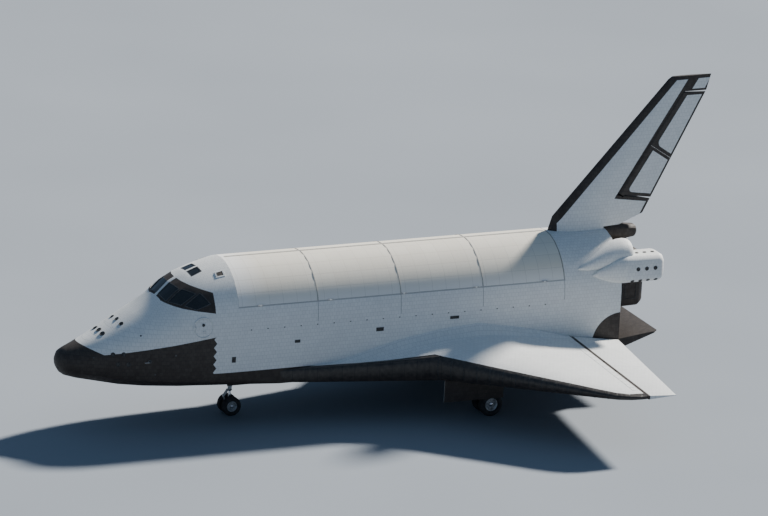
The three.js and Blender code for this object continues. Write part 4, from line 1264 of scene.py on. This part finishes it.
# %% Engine nozzles
BELL = [(0.235, -0.02), (0.25, 0.02), (0.25, 0.05), (0.21, 0.07), (0.203, 0.12), (0.232, 0.22),
        (0.25, 0.225), (0.252, 0.245), (0.24, 0.25), (0.29, 0.38), (0.308, 0.385), (0.31, 0.405),
        (0.298, 0.41), (0.345, 0.55), (0.362, 0.555), (0.364, 0.575), (0.352, 0.58), (0.405, 0.75),
        (0.421, 0.755), (0.421, 0.795), (0.408, 0.798), (0.39, 0.74), (0.335, 0.56), (0.285, 0.42),
        (0.225, 0.24), (0.165, 0.13), (0.155, 0.08), (0.18, 0.02), (0.004, -0.01)]
for side, name in SIDES:
    seat = place(32.5, side * 0.6, 3.7)
    bell = turned(f"nozzle_bell_{name}", NOZZLE_METAL, "orbiter", BELL, seat, (1, 0, 0), 56, 40)
    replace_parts(bell, "engine_nozzle_" + name)
    turned(f"nozzle_collar_{name}", DARK_METAL, "orbiter",
           [(0.26, -0.02), (0.5, -0.02), (0.5, 0.02), (0.46, 0.04), (0.4, 0.045), (0.34, 0.07),
            (0.27, 0.08), (0.26, -0.02)], seat, (1, 0, 0), 48)
    stud = turned(f"stud_{name}", FRAME_METAL, "orbiter",
                  [(0.018, -0.01), (0.018, 0.045), (0.013, 0.052), (0.002, 0.052)],
                  seat + Vector((0, 0, 0.47)), (1, 0, 0), 6)
    ring_of(stud, f"collar_studs_{name}", 16, seat, "X")
    tube(f"nozzle_pipe_{name}", NOZZLE_METAL, "orbiter",
         [seat + Vector((0.0, side * 0.05, 0.62)), seat + Vector((0.09, side * 0.1, 0.52)),
          seat + Vector((0.11, side * 0.16, 0.36)), seat + Vector((0.14, side * 0.15, 0.18))], 0.022)
print("nozzles and collars", sum("nozzle" in name or "studs" in name for name in made))

# %% [markdown]
# The tail block has framed heat panels on its faces. They are thin plates with their middles left open, laid
# round each face, so that the block reads as built from panels.

# %% Tail block panels
for side, name in SIDES:
    for number, (x, z) in enumerate([(31.0, 4.25), (31.75, 4.25), (31.0, 3.0), (31.75, 3.0)]):
        plate(f"block_panel_{name}_{number}", DARK_METAL, "engine_block", place(x, side * 1.4, z),
              (0.66, 1.1), (0, side, 0), 0.002, 0.014, 3, 0.035)
    plate(f"block_rear_panel_{name}", DARK_METAL, "engine_block", place(32.5, side * 0.6, 2.62), (0.9, 0.5),
          (1, 0, 0), 0.002, 0.014, 3, 0.03)
    plate(f"block_top_panel_{name}", DARK_METAL, "engine_block", place(31.4, side * 0.62, 5.0), (1.3, 1.0),
          (0, 0, 1), 0.002, 0.014, 3, 0.04)
chute_rim, chute_way = place(32.33, 0, 5.79), (1, 0, 0)
turned("parachute_cover_rim", DARK_METAL, "orbiter", [(0.2, 0.0), (0.26, 0.0), (0.26, 0.1), (0.245, 0.12),
                                                      (0.21, 0.12), (0.2, 0.1), (0.2, 0.0)], chute_rim,
       chute_way, 36)
turned("parachute_cover", LEG_PAINT, "orbiter", [(0.198, 0.02), (0.198, 0.085), (0.17, 0.1), (0.06, 0.112),
                                                 (0.004, 0.112)], chute_rim, chute_way, 36)
print("tail panels", sum("block_" in name for name in made))

# %% [markdown]
# Along the top of the wing, a row of small sliding doors covers the gap in front of the elevons. One row of
# thin plates is laid on each wing. Lamps sit at the wing tips.

# %% Hinge covers and wing tip lamps
for side, name in SIDES:
    wing = "wing_" + name
    covers = []
    for number in range(18):
        spot, _ = on_skin(wing, place(27.42, side * (3.1 + 0.46 * number), OUTSIDE), DOWN)
        covers.append(plate(f"hinge_cover_{name}_{number}", WHITE_TILES, wing, spot, (0.34, 0.43),
                            (0, 0, 1), 0.002, 0.008, 2))
    joined(covers, f"hinge_covers_{name}")
    tip = place(27.6, side * 11.93, 0.74)
    turned(f"wing_lamp_{name}", GLASS, "orbiter", [(0.05, -0.02), (0.05, 0.005), (0.04, 0.02),
                                                   (0.02, 0.028), (0.002, 0.03)], tip, (0, side, 0), 20)
print("hinge covers and lamps", [name for name in made if "hinge_cover" in name or "wing_lamp" in name])

# %% [markdown]
# Inside the bay, frames stand round the trough every 1.3 metres, rails run along both sills, and trays with
# cables run along the lower walls. The frames are a small section spun round the axis of the bay. Latches
# for the load, lamps and three bridges across the floor come with them.

# %% Bay frames, rails and trays
BAY_LINING = coat("bay frame paint", 0.5, 6, (0.50, 0.53, 0.42, 1), (0.38, 0.41, 0.33, 1), 0.15, 0.003)
frames = [arc(f"bay_frame_{n}", BAY_LINING, "orbiter", 9.75 + 1.29 * n, (0.09, 0.07), 2.325, math.radians(20),
              math.radians(220), 40) for n in range(14)]
joined(frames, "bay_frames")
for side, name in SIDES:
    block(f"bay_rail_{name}", LEG_PAINT, "orbiter", place(9.1, side * 2.06, 4.08),
          place(27.1, side * 2.19, 4.2), 0.012, (0, -side, 0), 0.02)
    block(f"cable_tray_{name}", CHROME, "orbiter", place(9.2, side * 1.05, 1.28),
          place(27.0, side * 1.3, 1.42), 0.01, (0, 0, 1), 0.03)
    for number in range(3):
        y = side * (1.09 + 0.08 * number)
        tube(f"bay_cable_{name}_{number}", RUBBER, "orbiter",
             [place(x, y + 0.008 * math.sin(x * 2.1 + number), 1.435)
              for x in (9.3, 12.0, 15.0, 18.0, 21.0, 24.0, 26.9)], 0.02)
    for number, x in enumerate([11.0, 15.6, 20.2, 24.8]):
        block(f"payload_latch_{name}_{number}", DARK_METAL, "orbiter", place(x, side * 2.06 - 0.12, 4.03),
              place(x + 0.4, side * 2.06 + 0.08, 4.16), 0.015, (0, 0, 1), 0.03)
        lamp = place(x + 1.0, side * 1.6, 1.72)
        inward = Vector((0, -side * 0.7, 0.7))
        turned(f"bay_lamp_{name}_{number}", CHROME, "orbiter",
               [(0.11, -0.12), (0.11, 0.03), (0.1, 0.04), (0.09, 0.03), (0.06, 0.0), (0.004, 0.0)], lamp,
               inward, 20)
for number, x in enumerate([12.8, 18.1, 23.4]):
    block(f"keel_bridge_{number}", BAY_LINING, "orbiter", place(x - 0.16, -0.7, 1.08),
          place(x + 0.16, 0.7, 1.2), 0.02, (0, 0, 1), 0.03)
print("bay parts", sum(name.startswith(("bay_", "cable", "payload_latch", "keel")) for name in made))

# %% [markdown]
# The inner faces of the doors carry radiators, long shiny panels with fine ribs. Each is an arc strip with
# a painted rib at both ends. The doors also carry latches along the edge where they meet.

# %% Radiators and latches
for side, name in SIDES:
    door = "payload_door_" + name
    start = math.radians(27) if side > 0 else math.radians(153)
    for number in range(4):
        x = 11.2 + 4.62 * number
        arc(f"radiator_{name}_{number}", RADIATOR, door, x, (4.3, 0.03), 2.605, start,
            math.radians(-56) * side, 24)
        for edge in (-2.2, 2.2):
            arc(f"radiator_rib_{name}_{number}_{'aft' if edge > 0 else 'fore'}", LEG_PAINT, door, x + edge,
                (0.06, 0.05), 2.6, start, math.radians(-56) * side, 24)
    for number in range(8):
        x = 10.1 + 2.3 * number
        block(f"door_latch_{name}_{number}", DARK_METAL, door, place(x, side * 0.04, 5.93),
              place(x + 0.16, side * 0.22, 6.02), 0.012, (0, 0, -1), 0.02)
print("radiators", sum("radiator" in name for name in made), "latches",
      sum("door_latch" in name for name in made))

# %% [markdown]
# Underneath are the square doors that closed over the fuel pipes, and three sockets where the tank was held.
# The doors are thin plates with frames round them, the sockets are turned rings, and three small vents lie
# on each side.

# %% Belly doors and sockets
BELLOW = (0, 0, -1)
for side, name in SIDES:
    plate(f"pipe_door_{name}", BLACK_TILES, "aft_fuselage", place(28.6, side * 1.15, -0.02), (1.3, 1.3),
          BELLOW, 0.003, 0.012, 4)
    plate(f"pipe_door_frame_{name}", DARK_METAL, "aft_fuselage", place(28.6, side * 1.15, -0.02),
          (1.4, 1.4), BELLOW, 0.003, 0.016, 4, 0.05)
    for number, x in enumerate([13.5, 17.2, 26.3]):
        plate(f"belly_vent_{name}_{number}", DARK_METAL, "mid_fuselage", place(x, side * 1.9, -0.02),
              (0.4, 0.14), BELLOW, 0.003, 0.01, 3)
SOCKET = [(0.05, -0.01), (0.15, -0.01), (0.16, 0.012), (0.15, 0.022), (0.11, 0.022), (0.1, 0.012),
          (0.05, 0.01), (0.05, -0.01)]
for number, (x, y) in enumerate([(14.5, 0.0), (25.0, -1.7), (25.0, 1.7)]):
    turned(f"tank_socket_{number}", CHROME, "orbiter", SOCKET, place(x, y, -0.03), BELLOW, 32)
print("belly parts", sum(name.startswith(("pipe_door", "belly", "tank")) for name in made))

# %% [markdown]
# Over each aft thruster pod rises a smooth fairing that holds the fuel. Its cross-sections are ovals that
# grow from a point and round off behind, so one oval is extruded from station to station and rescaled.

# %% Pod fairings
def lofted(name, finish, body, stations, faces=32):
    """Ovals square to X, given as x, y, z of the middle, half width and half height."""
    deselect()
    x, y, z, wide, high = stations[0]
    bpy.ops.mesh.primitive_circle_add(vertices=faces, radius=1, location=place(x, y, z),
                                      rotation=(0, math.pi / 2, 0))
    keep_place()
    edit()
    bpy.ops.mesh.select_mode(type="VERT")
    everything()
    bpy.ops.transform.resize(value=(1, wide, high), center_override=place(x, y, z))
    for (x0, y0, z0, w0, h0), (x1, y1, z1, w1, h1) in zip(stations, stations[1:]):
        bpy.ops.mesh.extrude_region_move(TRANSFORM_OT_translate={"value": (x1 - x0, y1 - y0, z1 - z0)})
        bpy.ops.transform.resize(value=(1, w1 / w0, h1 / h0), center_override=place(x1, y1, z1))
    everything()
    bpy.ops.mesh.fill_holes(sides=0)
    clean_shape()
    return settle(name, finish, body, 40)


FAIRING = [(28.1, -2.46, 4.7, 0.03, 0.03), (28.25, -2.42, 4.73, 0.14, 0.12), (28.6, -2.32, 4.8, 0.3, 0.26),
           (29.1, -2.17, 4.9, 0.47, 0.43), (29.6, -2.03, 5.0, 0.62, 0.6), (30.1, -1.93, 5.07, 0.73, 0.74),
           (30.55, -1.87, 5.1, 0.79, 0.83), (30.9, -1.85, 5.12, 0.8, 0.83), (31.1, -1.85, 5.12, 0.77, 0.79),
           (31.22, -1.85, 5.12, 0.7, 0.71), (31.28, -1.85, 5.12, 0.58, 0.6)]
port_fairing = lofted("pod_fairing_left", WHITE_TILES, "orbiter", FAIRING)
copied(port_fairing, "pod_fairing_right", flip=True)
print("fairing rises to", round(max(z + high for _, _, z, _, high in FAIRING), 2), "m above the belly")

# %% [markdown]
# The leading edge is made of carbon panels with a narrow seal over each joint. Each seal is a slice of the
# edge itself: a copy is cut by two planes with bisect, swollen a little and given a wall.

# %% Leading edge seals
EDGE_LINE = [(19.1, 4.6), (22.5, 8.0), (25.4, 10.9), (26.08, 11.5)]


def edge_seal(side, name, number, across):
    (x0, y0), (x1, y1) = next(pair for pair in zip(EDGE_LINE, EDGE_LINE[1:])
                              if pair[0][1] <= across <= pair[1][1])
    x = x0 + (x1 - x0) * (across - y0) / (y1 - y0)
    way = Vector((x1 - x0, side * (y1 - y0), 0)).normalized()
    spot = place(x, side * across, 0)
    pick(skins["leading_edge_" + name])
    bpy.ops.object.duplicate()
    piece = bpy.context.object
    edit()
    for reach, sign in ((0.03, 1), (-0.03, -1)):
        everything()
        bpy.ops.mesh.bisect(plane_co=spot + way * reach, plane_no=way * sign, clear_outer=True)
    everything()
    bpy.ops.transform.shrink_fatten(value=0.008)
    object_mode()
    give_wall(piece, 0.012)
    edit()
    clean_shape()
    return settle(f"edge_seal_{name}_{number}", DARK_METAL, "orbiter", 40)


for side, name in SIDES:
    seals = [edge_seal(side, name, n, 4.75 + 0.5 * n) for n in range(14)]
    joined(seals, f"edge_seals_{name}")
print("edge seals", [name for name in made if "edge_seal" in name])

# %% [markdown]
# The rudder splits into two halves that swing apart as a brake. Shallow pockets keep their inner faces from
# looking like bare slabs when they part. The pockets are inset from the inner face and pushed in.

# %% Rudder pockets
for name in ("rudder_lower_left", "rudder_lower_right", "rudder_upper_left", "rudder_upper_right"):
    pick(skins[name])
    edit()
    choose(lambda middle, normal: abs(normal.y) > 0.99 and abs(middle.y) < 0.02)
    inward = Vector((0, -0.03 if name.endswith("left") else 0.03, 0))
    bpy.ops.mesh.inset(thickness=0.16)
    bpy.ops.mesh.inset(thickness=0.02)
    bpy.ops.transform.translate(value=inward)
    clean_shape()
    bpy.ops.mesh.quads_convert_to_tris()
    object_mode()
    bpy.ops.object.shade_smooth_by_angle(angle=math.radians(24))
    print(name, "now has", len(skins[name].data.polygons), "faces")

# %% [markdown]
# The bays that hold the wheels are lined with frames across their roofs, with pipes between.

# %% Wheel bay frames and pipes
for number in range(1, 5):
    x = 9.9 + 0.62 * number
    block(f"nose_bay_frame_{number}", BAY_LINING, "orbiter", place(x - 0.03, -0.61, 0.8),
          place(x + 0.03, 0.61, 0.89), 0.008, (0, 0, -1), 0.015)
for side, name in SIDES:
    tube(f"nose_bay_pipe_{name}", CHROME, "orbiter", [place(x, side * (0.5 + 0.02 * math.sin(x * 3)), 0.76)
                                                      for x in (10.0, 10.9, 11.8, 12.6)], 0.018)
    for number in range(5):
        x = 20.3 + 0.62 * number
        block(f"main_bay_frame_{name}_{number}", BAY_LINING, "orbiter", place(x - 0.04, side * 2.87, 1.02),
              place(x + 0.04, side * 4.23, 1.14), 0.01, (0, 0, -1), 0.02)
    for number, y in enumerate([3.05, 3.14, 4.1]):
        tube(f"main_bay_pipe_{name}_{number}", CHROME if number else NOZZLE_METAL, "orbiter",
             [place(x, side * (y + 0.02 * math.sin(x * 2)), 0.97) for x in (20.0, 21.0, 22.1, 23.2)], 0.022)
print("wheel bay parts", sum("_bay_" in name for name in made))

# %% [markdown]
# The end walls of the bay have stiffened panels. The front wall also has the round door to the cabin and two
# windows from which the crew watch the bay.

# %% Bay end walls
front_wall, rear_wall = 9.05, 27.15
turned("bay_hatch_rim", CHROME, "orbiter", [(0.44, -0.01), (0.56, -0.01), (0.56, 0.05), (0.53, 0.08),
                                            (0.47, 0.08), (0.44, 0.05), (0.44, -0.01)],
       place(front_wall, 0, 2.5), (1, 0, 0), 40)
turned("bay_hatch", BAY_LINING, "orbiter", [(0.435, -0.01), (0.435, 0.04), (0.36, 0.06), (0.12, 0.1),
                                            (0.1, 0.12), (0.004, 0.12)], place(front_wall, 0, 2.5),
       (1, 0, 0), 40)
for side, name in SIDES:
    block(f"bay_window_{name}", GLASS, "orbiter", place(front_wall - 0.01, side * 0.45 - 0.17, 4.45),
          place(front_wall + 0.02, side * 0.45 + 0.17, 4.75), 0.006, (1, 0, 0), 0.006)
    block(f"bay_window_frame_{name}", FRAME_METAL, "orbiter",
          place(front_wall - 0.01, side * 0.45 - 0.23, 4.39),
          place(front_wall + 0.012, side * 0.45 + 0.23, 4.81), 0.006, (1, 0, 0), 0.004)
    for wall, way, word in ((front_wall, 1, "front"), (rear_wall, -1, "rear")):
        for number, (y, z) in enumerate([(1.35, 3.3), (1.35, 2.3)] +
                                        ([(0.45, 3.3), (0.45, 2.3)] if word == "rear" else [])):
            block(f"bay_{word}_panel_{name}_{number}", BAY_LINING, "orbiter",
                  place(wall - way * 0.01, side * y - 0.38, z - 0.42),
                  place(wall + way * 0.03, side * y + 0.38, z + 0.42), 0.008, (way, 0, 0), 0.015)
print("end wall parts", sum(name.startswith(("bay_hatch", "bay_window", "bay_front", "bay_rear"))
                            for name in made))

# %% [markdown]
# The craft stands on a plain pale floor, as in a photo studio. It is wide enough to fill every view.

# %% Floor
FLOOR_SIZE = 6000
bpy.ops.mesh.primitive_plane_add(size=FLOOR_SIZE, location=(0, 0, 0))
floor = bpy.context.object
floor.name = "floor"
pale_floor = Finish("pale floor", 0.9)
pale_floor.colour(pale_floor.mix(pale_floor.ramp(pale_floor.noise(0.05, 2), 0.3, 0.7),
                                 (0.235, 0.265, 0.305, 1), (0.265, 0.295, 0.335, 1)))
floor.data.materials.append(pale_floor.material)
print("floor laid")

# %% [markdown]
# The script ends with nothing selected.

# %% End
deselect()
